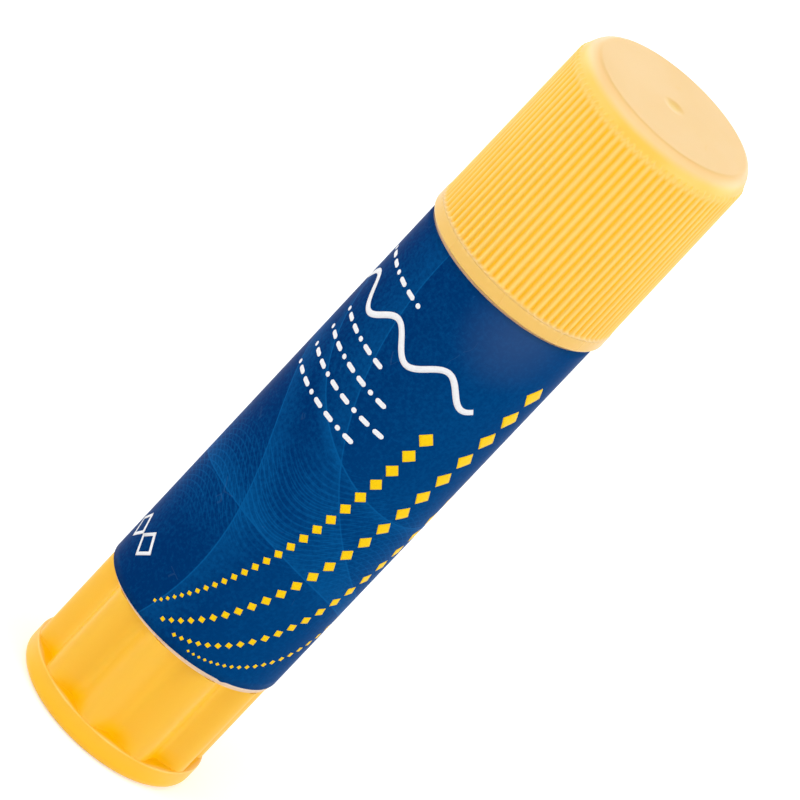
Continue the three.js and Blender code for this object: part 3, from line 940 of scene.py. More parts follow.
            # The band is polished smoother and gets painted shade in its colour.
            in_band = 1.0 - ribbed
            share = in_band + ribbed * rib * (1.0 - ease(z - ends, *self.rib_end_fade))
            middle = (z - self.foot) / (self.rib_foot - self.foot) * 2.0 - 1.0
            sag = self.band_crown * np.clip(middle, -1.0, 0.0) ** 2
            sag += self.band_step * ribbed * (1.0 - ease(z, self.rib_foot, self.rib_top - 1.0))
            # Painted shade in the grooves, which fades out at their ends.
            groove = (1.0 - rib) * ribbed * (1.0 - ease(z - ends, *self.groove_end_fade))
            # Painted highlight: a pale line just below the ribs' foot.
            rim = self.rim_highlight * np.exp(-((z - self.rib_foot + self.rim_drop) / self.rim_width) ** 2)
            rows.append((self._body(z) + (self._wall(z) - self._body(z)) * share - sag, z,
                         np.maximum(groove, self._shade_at(z)), in_band, self._sheen_at(self._climb(z)) + rim))
        return rows

    def _top_rows(self) -> list[tuple]:
        """Rows of the shoulder and the top, with their painted shade and painted sheen. The top is flat but
        for the gate's dish, which has less of both.
        """
        foot, flat = self.top - self.shoulder_rise, self.rib_top_radius - self.shoulder_reach
        rows = []
        for climb in np.linspace(self._climb(self.rib_top + self.shoulder_start), QUARTER, 20):
            z = foot + self.shoulder_rise * np.sin(climb)
            rows.append((flat + self.shoulder_reach * np.cos(climb), z, self._shade_at(z), 0.0,
                         self._sheen_at(climb)))
        rows += [(radius, self.top, self.disc_shade, 0.0, self.disc_sheen)
                 for radius in (flat - 0.15, flat - 0.5, 5.0, 2.4)]
        for share in np.linspace(1.25, 0.0, 18):
            around = float(ease(share, *self.gate_fade))
            rows.append((share * self.gate_radius, self.top - self.gate_depth * (1.0 - around),
                         self.disc_shade * around, 0.0, self.disc_sheen * around))
        return rows

    def _inner_rows(self) -> list[Row]:
        """Rows of the inside, from the middle of the ceiling to the lip."""
        bend, mouth_edge = self.bore - self.bore_draft - self.bore_rounding, self.bore + self.bore_edge
        rows: list[Row] = [(0.0, self.ceiling), (bend - 0.3, self.ceiling)]
        rows += arc((bend, self.ceiling - self.bore_rounding), self.bore_rounding, (QUARTER, 0.0), 8)
        return rows + [(self.bore, self.mouth), (self.bore, self.foot + self.bore_edge),
                       (mouth_edge, self.foot), (mouth_edge + 0.1, self.foot),
                       (self.radius - self.edge - 0.06, self.foot)]

    def build(self, finishes: Finishes) -> None:
        """Makes the cap."""
        angles = evenly(self.rib_count * self.columns_per_rib, np.radians(self.rib_turn))
        lip = arc((self.radius - self.edge, self.foot + self.edge), self.edge, (-QUARTER, 0.0), 6)
        # The lip is polished smoother and gets painted shade in its colour, like the band.
        rows = [(*row, 0.0, polish_and_shade, 0.0) for part, polish_and_shade in ((self._inner_rows(), 0.0), (lip, 1.0))
                for row in part]
        rows += self._wall_rows(angles) + self._top_rows()
        marks = {mark: spread(rows, column, angles)
                 for column, mark in enumerate((PAINTED_SHADE, POLISH_AND_SHADE, PAINTED_SHEEN), 2)}
        piece = skin("cap_shell", turned(rows, angles), **marks)
        dress(piece, Body.CAP, Slot.YELLOW, finishes.cap_yellow, stands_for="cap")


@dataclass(frozen=True)
class FlutedKnob(Part):
    """Turning base: a rounded flange, a grip with broad flutes and the collar that turns in the tube."""

    flange_height: float = 2.6
    flange_rounding: float = 1.0
    grip_radius: float = 9.88
    grip_top: float = 13.7
    grip_rounding: float = 0.06
    flute_count: int = 10
    flute_depth: float = 1.45
    flute_turn: float = 13.5
    lip: float = 0.12
    scoop: float = 0.05
    flange_shade: float = 0.45
    foot_ring: float = 1.6
    foot_ring_flat: float = 0.6
    foot_recess: float = 0.8
    recess_start: float = 1.4
    floor: float = 2.2
    collar_rim: float = 8.2
    collar_radius: float = 7.65
    collar_bore: float = 6.5
    snap_foot: float = 15.35
    snap_height: float = 1.4
    snap_depth: float = 0.5
    socket_radius: float = 4.24
    socket_top: float = 9.5
    socket_side: float = 4.3
    socket_rim: float = 3.3
    crease: float = 0.05
    snap_rounding: float = 0.08
    edge: float = 0.15
    floor_fillet: float = 0.3
    # Fades of the painted shade at the flutes' foot and of the painted highlight on the flange's rim, and
    # how strong each is on the lands.
    ledge_fade: tuple[float, float] = (0.0, 0.12)
    foot_fade: tuple[float, float] = (0.2, 1.9)
    rim_fade: tuple[float, float] = (-0.2, -0.06)
    rim_edge_fade: tuple[float, float] = (0.02, 0.1)
    flange_fade: tuple[float, float] = (0.1, 0.4)
    shade_power: float = 0.6
    land_shade: float = 0.25
    land_sheen: float = 0.2
    columns_per_flute: int = 48
    grip_rows: tuple[float, ...] = (2.9, 4.4, 6.5, 9.0, 11.5, 13.0)

    # Radius and height of each row of the gate mark's dish, from the recess in the foot.
    gate: tuple = ((0.0, -0.25), (0.5, -0.25), (0.7, -0.2), (0.75, 0.0), (1.2, 0.0))

    def _wall(self, angles: Array) -> Array:
        """Radius of the grip: its circle, less the depth times (1 + cos(count * turn)) / 2.

        The turn is taken from a flute's middle, so the lands melt into the flutes.
        """
        wave = np.cos(self.flute_count * (angles - np.radians(self.flute_turn)))
        return self.grip_radius - self.flute_depth * (1.0 + wave) / 2.0

    def _marks(self, grid: Array, deep: Array) -> dict[str, Array]:
        """Painted shade and painted highlight on each point of the knob.

        The flutes get painted shade, a deeper colour for the shade and bounced light in them, most of all at
        their foot and on the flange's ledge, and the flange's wall gets painted shade too. The flange's rim
        gets a painted highlight line, above all where a flute leaves it free.

        Args:
            grid: Points of the knob.
            deep: Depth of the flute at each angle, 0 to 1.

        Returns:
            Both marks, by attribute.
        """
        radii, above = np.hypot(grid[..., 0], grid[..., 1]), grid[..., 2] - self.flange_height
        past_rim = self.radius - self.lip - radii
        on_grip = (above > -1e-6) & (above < self.grip_top - self.flange_height) & (
            radii > self.grip_radius - self.flute_depth - 0.1)
        # Painted shade is strongest on the ledge and at the foot of each flute.
        foot = ease(past_rim, *self.ledge_fade) * (1.0 - ease(above, *self.foot_fade))
        # Painted highlight line along the flange's rounded rim.
        on_rim = ease(above, *self.rim_fade) * (1.0 - ease(past_rim, *self.rim_edge_fade)) * (above < 0.05)
        on_flange = ease(-above, *self.flange_fade) * (past_rim < self.flange_rounding)
        in_flute = deep**self.shade_power * (self.land_shade + (1.0 - self.land_shade) * foot)
        return {PAINTED_SHADE: np.where(on_grip, in_flute, self.flange_shade * on_flange),
                PAINTED_SHEEN: on_rim * (self.land_sheen + (1.0 - self.land_sheen) * deep)}

    def _outside_rows(self, wall: Array) -> list[Row]:
        """Rows of the foot ring, the flange and the grip."""
        ring, ledge = self.radius - self.flange_rounding - self.foot_ring, self.radius - self.lip - 0.01
        flat = ring + self.foot_ring_flat
        rows = list(rounded([(self.recess_start, self.foot_recess, 0), (ring, self.foot_recess, 0.2),
                             (ring, self.foot, self.edge), (flat, self.foot, 0)], 4))
        rows += list(braced(rounded([
            (flat + 0.2, self.foot, 0), (self.radius, self.foot, self.flange_rounding),
            (self.radius, self.flange_height, self.lip), (ledge, self.flange_height, 0)], 8), self.lip))
        inside = np.minimum(wall, ledge - 0.03)
        scoop = np.minimum(self.scoop, 0.85 * (ledge - inside))
        rows += [(ledge - (ledge - inside - scoop) * share, self.flange_height) for share in (0.35, 0.7)]
        rows += arc((inside + scoop, self.flange_height + scoop), scoop, (-QUARTER, -np.pi), 10)
        rows += [(wall, z) for z in self.grip_rows]
        return rows + arc((wall - self.grip_rounding, self.grip_top - self.grip_rounding),
                          self.grip_rounding, (0.0, QUARTER), 4)

    def build(self, finishes: Finishes) -> None:
        """Makes the knob."""
        angles = evenly(self.flute_count * self.columns_per_flute)
        wall, square = self._wall(angles), squared(angles, self.socket_side)
        snap, snap_top = self.collar_radius + self.snap_depth, self.snap_foot + self.snap_height
        rows = [(radius, self.foot_recess + rise) for radius, rise in self.gate]
        rows += self._outside_rows(wall)
        rows += list(rounded([
            (self.collar_rim, self.grip_top, 0), (self.collar_radius, self.grip_top, 2 * self.crease),
            (self.collar_radius, self.snap_foot, self.crease),
            (snap, self.snap_foot + self.snap_depth / 2, self.snap_rounding),
            (snap, snap_top - self.snap_depth, self.snap_rounding),
            (self.collar_radius, snap_top, self.crease), (self.collar_radius, self.top, self.edge),
            (self.collar_bore, self.top, self.edge), (self.collar_bore, self.floor, self.floor_fillet),
            (self.socket_radius, self.floor, self.floor_fillet),
            (self.socket_radius, self.socket_top, self.edge), (self.socket_rim, self.socket_top, 0)], 3))
        rows += [(square + 2 * self.crease, self.socket_top), (square, self.socket_top - 2 * self.crease),
                 (square, self.floor + self.crease), (square - self.crease, self.floor), (0.0, self.floor)]
        grid = turned(rows, angles)
        piece = skin("knob_shell", grid, **self._marks(grid, (self.grip_radius - wall) / self.flute_depth))
        dress(piece, Body.KNOB, Slot.YELLOW, finishes.knob_yellow, stands_for="twist_knob")


@dataclass(frozen=True)
class LeadScrew(Part):
    """Left-handed lead screw on a square tenon, with a thrust collar and a plain shank."""

    tenon: float = 4.0
    collar_start: float = 3.2
    collar_foot: float = 9.8
    collar_top: float = 11.1
    shank_radius: float = 3.0
    shank_top: float = 18.6
    thread: Thread = Thread(core=1.7, crest=2.7, crest_share=0.22)
    edge: float = 0.15
    crease: float = 0.1
    row_step: float = 0.25
    columns: int = 72

    def build(self, finishes: Finishes) -> None:
        """Makes the screw."""
        angles = evenly(self.columns)
        square = squared(angles, self.tenon)
        rows = bevelled([
            (0.0, self.foot, 0), (square, self.foot, self.edge), (square, self.collar_foot - 0.02, 0),
            (square + 0.05, self.collar_foot, 0)])
        rows += list(rounded([
            (self.collar_start, self.collar_foot, 0), (self.radius, self.collar_foot, self.edge),
            (self.radius, self.collar_top, self.edge), (self.shank_radius, self.collar_top, self.crease),
            (self.shank_radius, self.shank_top - 0.3, self.crease),
            (self.thread.crest, self.shank_top, 0)], 3))
        rows += [(self.thread.radius(angles, z), z)
                 for z in np.arange(self.shank_top + 0.05, self.top - 0.3, self.row_step)]
        end = self.thread.radius(angles, self.top)
        rows += [(end, self.top - 0.2), (end - 0.2, self.top), (0.0, self.top)]
        dress(skin("drive_screw", turned(rows, angles)), Body.KNOB, Slot.WHITE, finishes.white,
              stands_for="lead_screw")


@dataclass(frozen=True)
class Tube(Part):
    """Barrel of the stick: body, shoulder, neck with a retaining bead, and keys along the bore."""

    foot_lift: float = 0.07
    shoulder: float = 61.3
    neck: float = 8.9
    bore: float = 7.9
    bead_foot: float = 63.3
    bead_height: float = 1.2
    bead_depth: float = 0.15
    groove_radius: float = 8.4
    groove_foot: float = 14.75
    groove_top: float = 17.05
    key_radius: float = 7.4
    key_width: float = 1.4
    key_foot: float = 18.9
    key_top: float = 72.0
    crease: float = 0.1
    edge: float = 0.15
    mouth_rounding: float = 0.3
    ramp: float = 0.25
    # Width of the painted shade on the bare rims beside the label.
    shade_width: float = 0.45
    columns: int = 240

    def build(self, finishes: Finishes) -> None:
        """Makes the tube. The two bare rims beside the label get painted shade, a tan tint for the shade and
        the yellow light bounced there.
        """
        half = np.arcsin(self.key_width / 2 / self.bore)
        foot = self.foot + self.foot_lift
        bead, bead_top = self.neck + self.bead_depth, self.bead_foot + self.bead_height
        edges = [side * QUARTER + flank * (half + nudge)
                 for side in (1, -1) for flank in (1, -1) for nudge in (-0.004, 0.004)]
        angles = np.sort(np.concatenate([evenly(self.columns), np.mod(edges, TURN)]))
        keyed = with_keys(angles, self.bore, self.key_radius, self.key_width)
        rows = list(braced(rounded([
            (self.bore + self.ramp, foot, 0), (self.radius, foot, 0.06),
            (self.radius, foot + self.shade_width + 0.2, 0), (self.radius, self.shoulder - self.shade_width - 0.2, 0),
            (self.radius, self.shoulder, 0.18), (self.neck, self.shoulder, 0.2),
            (self.neck, self.bead_foot, self.crease), (bead, self.bead_foot + 0.2, self.edge),
            (bead, bead_top - 0.2, self.edge), (self.neck, bead_top, self.crease),
            (self.neck, self.top, self.mouth_rounding), (self.bore, self.top, self.mouth_rounding),
            (self.bore, self.key_top + 0.05, 0)]), self.edge))
        rows += [(keyed, self.key_top), (keyed, self.key_foot), (self.bore, self.key_foot - 0.05)]
        rows += list(rounded([
            (self.bore, self.key_foot - 0.3, 0), (self.bore, self.groove_top, self.crease / 2),
            (self.groove_radius, self.groove_top - self.ramp, 0.08),
            (self.groove_radius, self.groove_foot + self.ramp, 0.08),
            (self.bore, self.groove_foot, self.crease / 2), (self.bore, foot + self.ramp, 0)], 2))
        grid = turned(rows, angles)
        # Painted shade on the bare rims beside the label.
        on_rim = np.hypot(grid[..., 0], grid[..., 1]) > self.radius - 0.1
        inset = np.minimum(grid[..., 2] - foot, self.shoulder - grid[..., 2])
        shaded_rims = on_rim * (1.0 - ease(inset, self.shade_width, self.shade_width + 0.1))
        dress(skin("tube_shell", grid, looped=True, **{PAINTED_SHADE: shaded_rims}), Body.HOUSING, Slot.WHITE,
              finishes.white, stands_for="barrel")


@dataclass(frozen=True)
class Label(Part):
    """Printed film wrapped once round the tube, its end lapped over its start at the back."""

    thickness: float = 0.05
    foot_lift: float = 0.17
    top_lift: float = 0.2
    top_skew: float = 0.08
    top_turn: float = -15.0
    skew: float = 0.26
    skew_turn: float = 5.0
    nick: tuple[float, float, float] = (6.4, 0.35, 0.12)
    lap: float = 4.5
    lap_slope: float = 8.0
    ink_lift: float = 0.012
    columns: int = 480
    rows: int = 48

    def _surface(self, across: Array, up: Array, lift: float = 0.0) -> Array:
        """Points of the label's face.

        The arc from the front divided by the radius is the angle. Near the start of the wrap the film
        lies lower by its own thickness, and climbs back within an eighth of a turn.

        Args:
            across: Arc from the front, in millimetres, along the wrap.
            up: Height above the foot.
            lift: Distance above the face.

        Returns:
            Points of the same shape with three coordinates each.
        """
        start = -np.pi * self.radius - self.lap / 2
        low = (self.thickness + 0.01) * (1 - ease(across - start, self.lap, self.lap + self.lap_slope))
        radius, angle = self.radius - low + lift, across / self.radius
        return np.stack([radius * np.sin(angle), -radius * np.cos(angle), up], axis=-1)

    @staticmethod
    def _thicken(piece: Piece, thickness: float) -> bpy.types.Modifier:
        """Gives a sheet its thickness inwards."""
        wall = piece.modifiers.new("sheet_thickness", "SOLIDIFY")
        wall.thickness, wall.offset = thickness * METRES, -1.0
        return wall

    def _film(self, finishes: Finishes) -> None:
        """The film: a sheet over arc and height.

        Both ends run a little askew, by a skew times the sine of the angle, and the foot has a nick.
        """
        reach = np.pi * self.radius + self.lap / 2
        across, share = np.meshgrid(np.linspace(-reach, reach, self.columns + 1),
                                    np.linspace(0, 1, self.rows + 1))
        middle, half_width, depth = self.nick
        angle = across / self.radius
        foot = self.foot + self.foot_lift + self.skew * np.sin(angle + np.radians(self.skew_turn))
        foot -= depth * np.exp(-((across - middle) / half_width) ** 2)
        top = self.top + self.top_lift + self.top_skew * np.sin(angle + np.radians(self.top_turn))
        up = foot + (top - foot) * share
        points = self._surface(across, up).reshape(-1, 3)
        ids = np.arange(len(points)).reshape(across.shape)
        piece = as_object("label_film", points, quads(ids[:, :-1], ids[:, 1:]))
        flat = np.stack([across / WRAP_SPAN + 0.5, up / WRAP_SPAN], axis=-1).reshape(-1, 2)
        corner = np.empty(len(piece.data.loops), np.int32)
        piece.data.loops.foreach_get("vertex_index", corner)
        piece.data.uv_layers.new(name=WRAP_MAP).data.foreach_set("uv", flat[corner].ravel())
        self._thicken(piece, self.thickness).material_offset_rim = 1
        dress(piece, Body.HOUSING, Slot.FILM, finishes.film, finishes.film_edge, stands_for="label")

    def _printed(self, name: str, ink: Material, patches: list[Array]) -> None:
        """Ink marks as thin patches that follow the label's face.

        Args:
            name: Name of the piece.
            ink: Material of the marks.
            patches: Sets of marks, each of shape marks x rows x columns x 2, in arc and height.
        """
        points, faces, count = [], [], 0
        for marks in patches:
            points.append(self._surface(marks[..., 0], marks[..., 1], self.ink_lift).reshape(-1, 3))
            for ids in count + np.arange(marks[..., 0].size).reshape(marks.shape[:3]):
                faces += quads(ids[:, :-1], ids[:, 1:])
            count += marks[..., 0].size
        piece = as_object(name, np.vstack(points), faces)
        self._thicken(piece, 2 * self.ink_lift)
        dress(piece, Body.HOUSING, Slot.FILM, ink)

    def build(self, finishes: Finishes) -> None:
        """Makes the film and its printed marks."""
        design = LabelDesign()
        self._film(finishes)
        self._printed("yellow_marks", finishes.yellow_ink, design.sprays())
        self._printed("white_marks", finishes.white_ink, design.white_rows())


@dataclass(frozen=True)
class LabelDesign:
    """Plain ornament for the label: sprays of graded diamonds, a white wave line and rows of dashes."""

    dash: float = 1.25
    dot: float = 0.55
    dash_gap: float = 0.5
    wave_height: float = 52.1
    wave_ends: tuple[float, float] = (-14.6, 6.2)
    wave_swing: float = 1.15
    wave_pitch: float = 6.93
    wave_stroke: float = 0.62
    step_share: float = 2.3
    step_gap: float = 0.2
    growth: float = 1.25

    # Start, bend and end in arc from the front and height, then the first and last half diagonal.
    runs: tuple = (((-2.0, 15.6), (7.5, 23.0), (11.2, 55.0), 0.28, 1.25),
                   ((-0.2, 15.3), (10.5, 18.5), (16.5, 45.0), 0.24, 1.05),
                   ((-3.8, 16.2), (3.2, 26.0), (4.6, 46.5), 0.2, 0.9),
                   ((1.8, 15.0), (13.0, 16.2), (21.0, 33.0), 0.16, 0.7),
                   ((24.0, 35.0), (26.5, 44.0), (27.5, 56.5), 0.2, 0.95))

    # Height, start, count of bars and their height, for each row of dashes.
    lines: tuple = (
        (55.6, -14.6, 7, 0.5), (48.9, -12.2, 6, 0.5), (46.5, -12.2, 8, 0.5), (44.1, -12.2, 9, 0.5),
        (41.7, -12.2, 8, 0.5), *((48.0 - 2.1 * row, -27.6, 6 - row % 3, 0.4) for row in range(13)))

    # Middle across, middle up, half diagonal and stroke of each diamond outline.
    outlines: tuple = ((-12.4, 18.3, 1.35, 0.5), (-9.2, 18.3, 1.35, 0.5))

    @staticmethod
    def _unit(cells: int) -> tuple[Array, Array]:
        """Grid of cells x cells over -1 to 1, as across and up."""
        line = np.linspace(-1.0, 1.0, cells + 1)
        return tuple(np.meshgrid(line, line))

    def _diamonds(self, across: Array, up: Array, size: Array, lean: Array, cells: int) -> Array:
        """Diamonds of given middles, half diagonals and leans.

        A unit square's point (u, v) goes to ((u + v) / 2, (v - u) / 2) of the half diagonal, which
        stands it on a corner, and is then turned by the lean.
        """
        u, v = self._unit(cells)
        across, up, size, lean = (values[:, None, None] for values in (across, up, size, lean))
        x, y = (u + v) / 2 * size, (v - u) / 2 * size
        return np.stack([across + x * np.cos(lean) - y * np.sin(lean),
                         up + x * np.sin(lean) + y * np.cos(lean)], axis=-1)

    def sprays(self) -> list[Array]:
        """Sprays of diamonds that start close together at the foot and fan out as they rise.

        Each spray runs on the curve (1-t)^2 start + 2t(1-t) bend + t^2 end. The half diagonal grows
        with t, and the steps grow with it: the length passed is divided by the step and summed.
        """
        sets = []
        t = np.linspace(0.0, 1.0, 4001)
        for *ends, least, largest in self.runs:
            path = np.stack([(1 - t) ** 2, 2 * t * (1 - t), t**2], axis=1) @ np.array(ends)
            size = least + (largest - least) * t**self.growth
            apart = self.step_share * size[1:] + self.step_gap
            steps = np.linalg.norm(np.diff(path, axis=0), axis=1) / apart
            passed = np.concatenate([[0.0], np.cumsum(steps)])
            count = int(passed[-1])
            spots = np.interp(np.arange(count + 1) * passed[-1] / count, passed, t)
            lean = np.arctan2(np.gradient(path[:, 1], t), np.gradient(path[:, 0], t))
            sets.append(self._diamonds(*(np.interp(spots, t, values)
                                         for values in (path[:, 0], path[:, 1], size, lean)), 5))
        return sets

    def _dashes(self, across: Array, up: float, length: Array, height: float) -> Array:
        """Bars with round ends: half height times sqrt(1 - how far into the end squared)."""
        u, v = self._unit(8)
        half = length[:, None, None] / 2
        x = np.sign(u) * np.abs(u) ** 0.6 * half
        into = np.clip((np.abs(x) - (half - height / 2)) / (height / 2), 0.0, 0.985)
        return np.stack([across[:, None, None] + x, up + v * height / 2 * np.sqrt(1 - into**2)], axis=-1)

    def _outline(self, across: float, up: float, size: float, stroke: float) -> Array:
        """Diamond outline: its half diagonal, give or take half the stroke, turned by quarter turns."""
        angle, side = np.meshgrid(np.arange(5) * QUARTER, np.array([0.5, 0.0, -0.5]))
        reach = size + side * stroke
        return np.stack([across - reach * np.cos(angle), up + reach * np.sin(angle)], axis=-1)[None]

    def _wave(self) -> Array:
        """Bold sine line. Half the stroke stands square to the line's slope on either side."""
        s = np.linspace(*self.wave_ends, 241)
        phase = TURN * s / self.wave_pitch
        z = self.wave_height + self.wave_swing * np.sin(phase)
        steep = self.wave_swing * TURN / self.wave_pitch * np.cos(phase)
        side = np.array([-0.5, 0.0, 0.5])[:, None] * self.wave_stroke / np.sqrt(1 + steep**2)
        return np.stack([s - side * steep, z + side], axis=-1)[None]

    def white_rows(self) -> list[Array]:
        """A bold wave line, rows of dashes under it and two small diamond outlines low at the left."""
        sets = [self._wave()]
        for up, start, count, height in self.lines:
            length = np.where(np.arange(count) % 3 == 0, self.dot, self.dash)
            middles = start + np.cumsum(length + self.dash_gap) - length / 2
            sets.append(self._dashes(middles, up, length, height))
        return sets + [self._outline(*outline) for outline in self.outlines]


@dataclass(frozen=True)
class Carrier(Part):
    """Cup that lifts the adhesive: a notched skirt, a plate and a hub with the screw's thread in it."""

    skirt_bore: float = 6.65
    plate_foot: float = 22.2
    plate_top: float = 23.4
    hub_radius: float = 4.2
    hub_top: float = 26.5
    thread: Thread = Thread(core=2.0, crest=3.0, crest_share=0.34)
    row_step: float = 0.25
    notch_radius: float = 7.15
    notch_width: float = 1.9
    edge: float = 0.1
    fillet: float = 0.2
    columns: int = 144

    def build(self, finishes: Finishes) -> None:
        """Makes the carrier."""
        angles = evenly(self.columns)
        skirt = with_keys(angles, self.radius, self.notch_radius, self.notch_width)
        rows = bevelled([
            (self.hub_radius, self.foot, 0), (self.hub_radius, self.plate_foot, self.fillet),
            (self.skirt_bore, self.plate_foot, self.fillet), (self.skirt_bore, self.foot, self.edge),
            (skirt, self.foot, self.edge), (skirt, self.top, self.edge),
            (self.skirt_bore, self.top, self.edge), (self.skirt_bore, self.plate_top, self.fillet),
            (self.hub_radius, self.plate_top, self.fillet), (self.hub_radius, self.hub_top, self.edge),
            (self.thread.radius(angles, self.hub_top), self.hub_top, 0)])
        rows += [(self.thread.radius(angles, z), z)
                 for z in np.arange(self.hub_top - self.row_step, self.foot - 0.01, -self.row_step)]
        dress(skin("carrier_cup", turned(rows, angles), looped=True), Body.CARRIER, Slot.WHITE,
              finishes.white, stands_for="glue_carrier")


@dataclass(frozen=True)
class Adhesive(Part):
    """Solid adhesive, cast in the carrier's cup and up the bore, with a blind bore round the screw."""

    rounding: float = 0.8
    cup_radius: float = 6.4
    cup_top: float = 29.25
    hub_bore: float = 4.45
    hub_top: float = 26.75
    screw_bore: float = 3.0
    bore_end: float = 66.2375
    notch_radius: float = 7.15
    notch_width: float = 1.9
    edge: float = 0.1
    swell: float = 0.02
    dent: float = 0.05
    sink: float = 0.12
    columns: int = 192

    def build(self, finishes: Finishes) -> None:
        """Makes the adhesive. Its face dips and swells by a few hundredths, as it sets in the tube."""
        angles = evenly(self.columns)
        notch = with_keys(angles, self.radius, self.notch_radius, self.notch_width)
        rows = bevelled([
            (0.0, self.bore_end, 0), (self.screw_bore, self.bore_end, 0.2),
            (self.screw_bore, self.hub_top, self.edge), (self.hub_bore, self.hub_top, self.edge),
            (self.hub_bore, self.foot, self.edge), (self.cup_radius, self.foot, self.edge),
            (self.cup_radius, self.cup_top, self.edge), (notch - self.edge, self.cup_top, 0)])
        rows += [(notch - self.swell * (1 + np.sin(3 * angles + z * 1.7)), z)
                 for z in np.linspace(self.cup_top + self.edge, self.top - self.rounding, 36)]
        dent = self.dent * (1 + np.sin(2 * angles + 0.6))
        rows += arc((notch - self.rounding, self.top - self.rounding), self.rounding, (0.15, QUARTER), 8,
                    self.rounding - dent)
        flat = self.radius - self.rounding
        rows += [(share * flat, self.top - dent * share - self.sink * (1 - share) ** 2)
                 for share in (0.95, 0.8, 0.6, 0.4, 0.2, 0.0)]
        dress(skin("adhesive_stick", turned(rows, angles)), Body.CARRIER, Slot.ADHESIVE, finishes.adhesive,
              stands_for="glue_core")


# Studio


@dataclass(frozen=True)
class Softbox:
    """Rectangular lamp, aimed at the middle of the stick unless it has another aim."""

    name: str
    place: tuple[float, float, float]
    width: float
    height: float
    brightness: float
    aim: tuple[float, float, float] = (0.0, 0.0, 0.045)

    def build(self) -> None:
        """Places the lamp. Its power is brightness * pi * area, so that its face has that brightness."""
        data = bpy.data.lights.new(self.name, "AREA")
        data.shape = "RECTANGLE"
        data.size, data.size_y = self.width, self.height
        data.energy = self.brightness * np.pi * self.width * self.height
        lamp = bpy.data.objects.new(self.name, data)
        lamp.location = self.place
        lamp.rotation_euler = (Vector(self.aim) - Vector(self.place)).to_track_quat("-Z", "Y").to_euler()
        lamp.visible_camera = False
        bpy.context.scene.collection.objects.link(lamp)


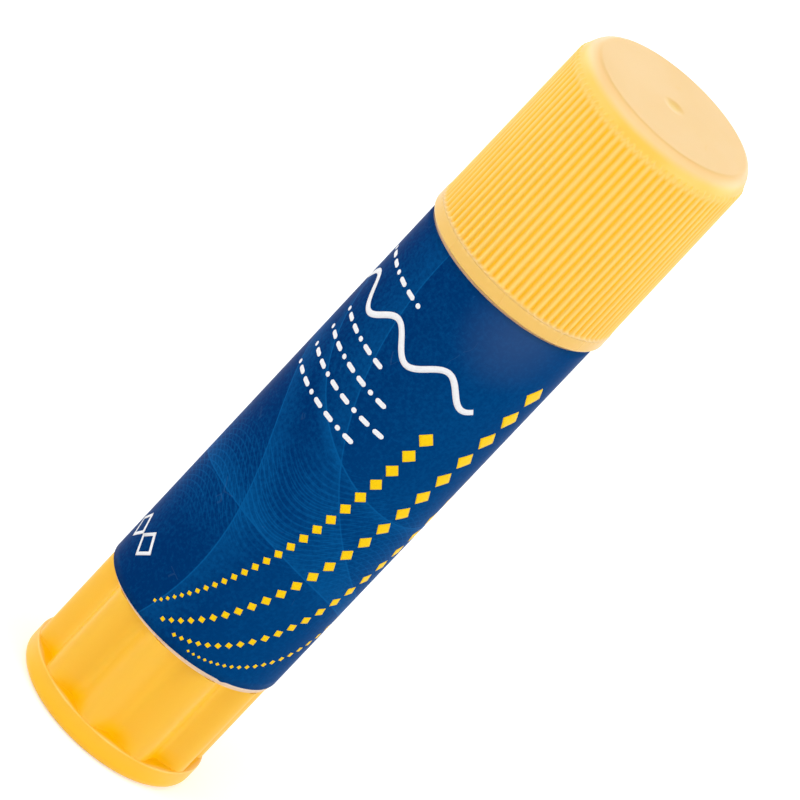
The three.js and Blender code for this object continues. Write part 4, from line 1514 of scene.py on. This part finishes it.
@dataclass(frozen=True)
class Studio:
    """White table, even surroundings, soft lamps round and above, and the photograph's camera."""

    side: float = 0.00014
    distance: float = 0.73230
    height: float = 0.34488
    pitch: float = 0.3898
    roll: float = 0.7552
    focal: float = 383.66
    sensor: float = 36.0
    floor_size: float = 2.4
    floor_colour: Colour = (0.93, 0.93, 0.93)
    floor_lift: float = 0.4
    sky: float = 0.11
    ring_distance: float = 1.1
    ring_size: tuple[float, float] = (1.05, 0.6)
    ring_lift: float = 0.02

    # Direction of each ring lamp, in degrees from the front, and its brightness.
    ring: tuple = ((0, 0.5), (60, 2.9), (120, 2.1), (180, 1.0), (-120, 2.0), (-60, 2.05))

    # Name, place in metres, width, height and brightness of each lamp above. The last aims at the top.
    upper: tuple = (("top_softbox", (0.0, 0.0, 1.5), 1.0, 1.0, 1.55),
                    ("upper_left_softbox", (-0.591, -0.496, 0.964), 0.9, 0.9, 0.52),
                    ("upper_right_softbox", (0.591, -0.496, 0.964), 0.9, 0.9, 0.58),
                    ("key_softbox", (-0.4, -0.616, 0.834), 0.8, 0.3, 3.2, (0.0, 0.0, cad_box[1][2])))

    @staticmethod
    def _background(graph: Graph, low: float, high: float) -> Value:
        """Value that is high where a surface is seen, mirrored or seen through glass, and low elsewhere."""
        rays = ("Is Camera Ray", "Is Transmission Ray", "Is Glossy Ray")
        seen, through, mirrored = graph.read(graph.put("ShaderNodeLightPath"), *rays)
        return seen.math("MAXIMUM", through).math("MAXIMUM", mirrored).span(0.0, 1.0, low, high)

    def _floor(self) -> None:
        """Plain pale table on which the stick stands. It shows white, and keeps the stick's shadow."""
        half = self.floor_size / 2 / METRES
        corners = half * np.array([[-1, -1, 0], [1, -1, 0], [1, 1, 0], [-1, 1, 0]])
        floor = as_object("studio_floor", corners, [[0, 1, 2, 3]])
        material, graph, surface = new_material("matte_white_table")
        matte = graph.get("ShaderNodeBsdfDiffuse", 0, {"Color": self.floor_colour})
        strength = self._background(graph, 0.0, self.floor_lift)
        lift = graph.get("ShaderNodeEmission", 0, {"Color": WHITE, "Strength": strength})
        graph.link(graph.get("ShaderNodeAddShader", 0, {0: matte, 1: lift}), surface)
        floor.data.materials.append(material)

    def _surroundings(self) -> None:
        """World: white where it is seen or mirrored, and a low even light elsewhere."""
        world = bpy.data.worlds.new("white_surroundings")
        world.use_nodes = True
        world.node_tree.nodes.clear()
        graph = Graph(world.node_tree)
        strength = self._background(graph, self.sky, 1.0)
        light = graph.get("ShaderNodeBackground", 0, {"Color": WHITE, "Strength": strength})
        graph.link(light, graph.put("ShaderNodeOutputWorld").inputs["Surface"])
        bpy.context.scene.world = world

    def _camera(self) -> None:
        """Camera in front of the stick, looking down at it and rolled, so the stick lies aslant."""
        forward = Vector((0.0, np.cos(self.pitch), -np.sin(self.pitch)))
        level = Vector((1.0, 0.0, 0.0))
        upright = level.cross(forward)
        right = level * np.cos(self.roll) + upright * np.sin(self.roll)
        up = upright * np.cos(self.roll) - level * np.sin(self.roll)
        data = bpy.data.cameras.new("photo_camera")
        data.lens, data.sensor_width, data.sensor_fit = self.focal, self.sensor, "HORIZONTAL"
        camera = bpy.data.objects.new("photo_camera", data)
        turn = Matrix((right, up, -forward)).transposed()
        camera.matrix_world = Matrix.Translation((self.side, -self.distance, self.height)) @ turn.to_4x4()
        bpy.context.scene.collection.objects.link(camera)
        bpy.context.scene.camera = camera

    def build(self) -> None:
        """Makes the whole studio."""
        self._camera()
        self._floor()
        self._surroundings()
        width, height = self.ring_size
        middle = height / 2 + self.ring_lift
        for degrees, brightness in self.ring:
            angle = np.radians(degrees)
            place = (self.ring_distance * np.sin(angle), -self.ring_distance * np.cos(angle), middle)
            name = f"ring_softbox_{degrees % 360}"
            Softbox(name, place, width, height, brightness, (0.0, 0.0, middle)).build()
        for lamp in self.upper:
            Softbox(*lamp).build()
        bpy.context.scene.view_settings.view_transform = "Standard"


def main() -> None:
    """Builds the studio and every piece."""
    logging.basicConfig(level=logging.INFO, format="%(name)s: %(message)s")
    Studio().build()
    finishes = Finishes(Effects())
    for maker, node in ((RibbedCap, "cap"), (FlutedKnob, "twist_knob"), (LeadScrew, "lead_screw"),
                        (Tube, "barrel"), (Label, "label"), (Carrier, "glue_carrier"),
                        (Adhesive, "glue_core")):
        maker(*extent(node)).build(finishes)


if __name__ == "__main__":
    main()
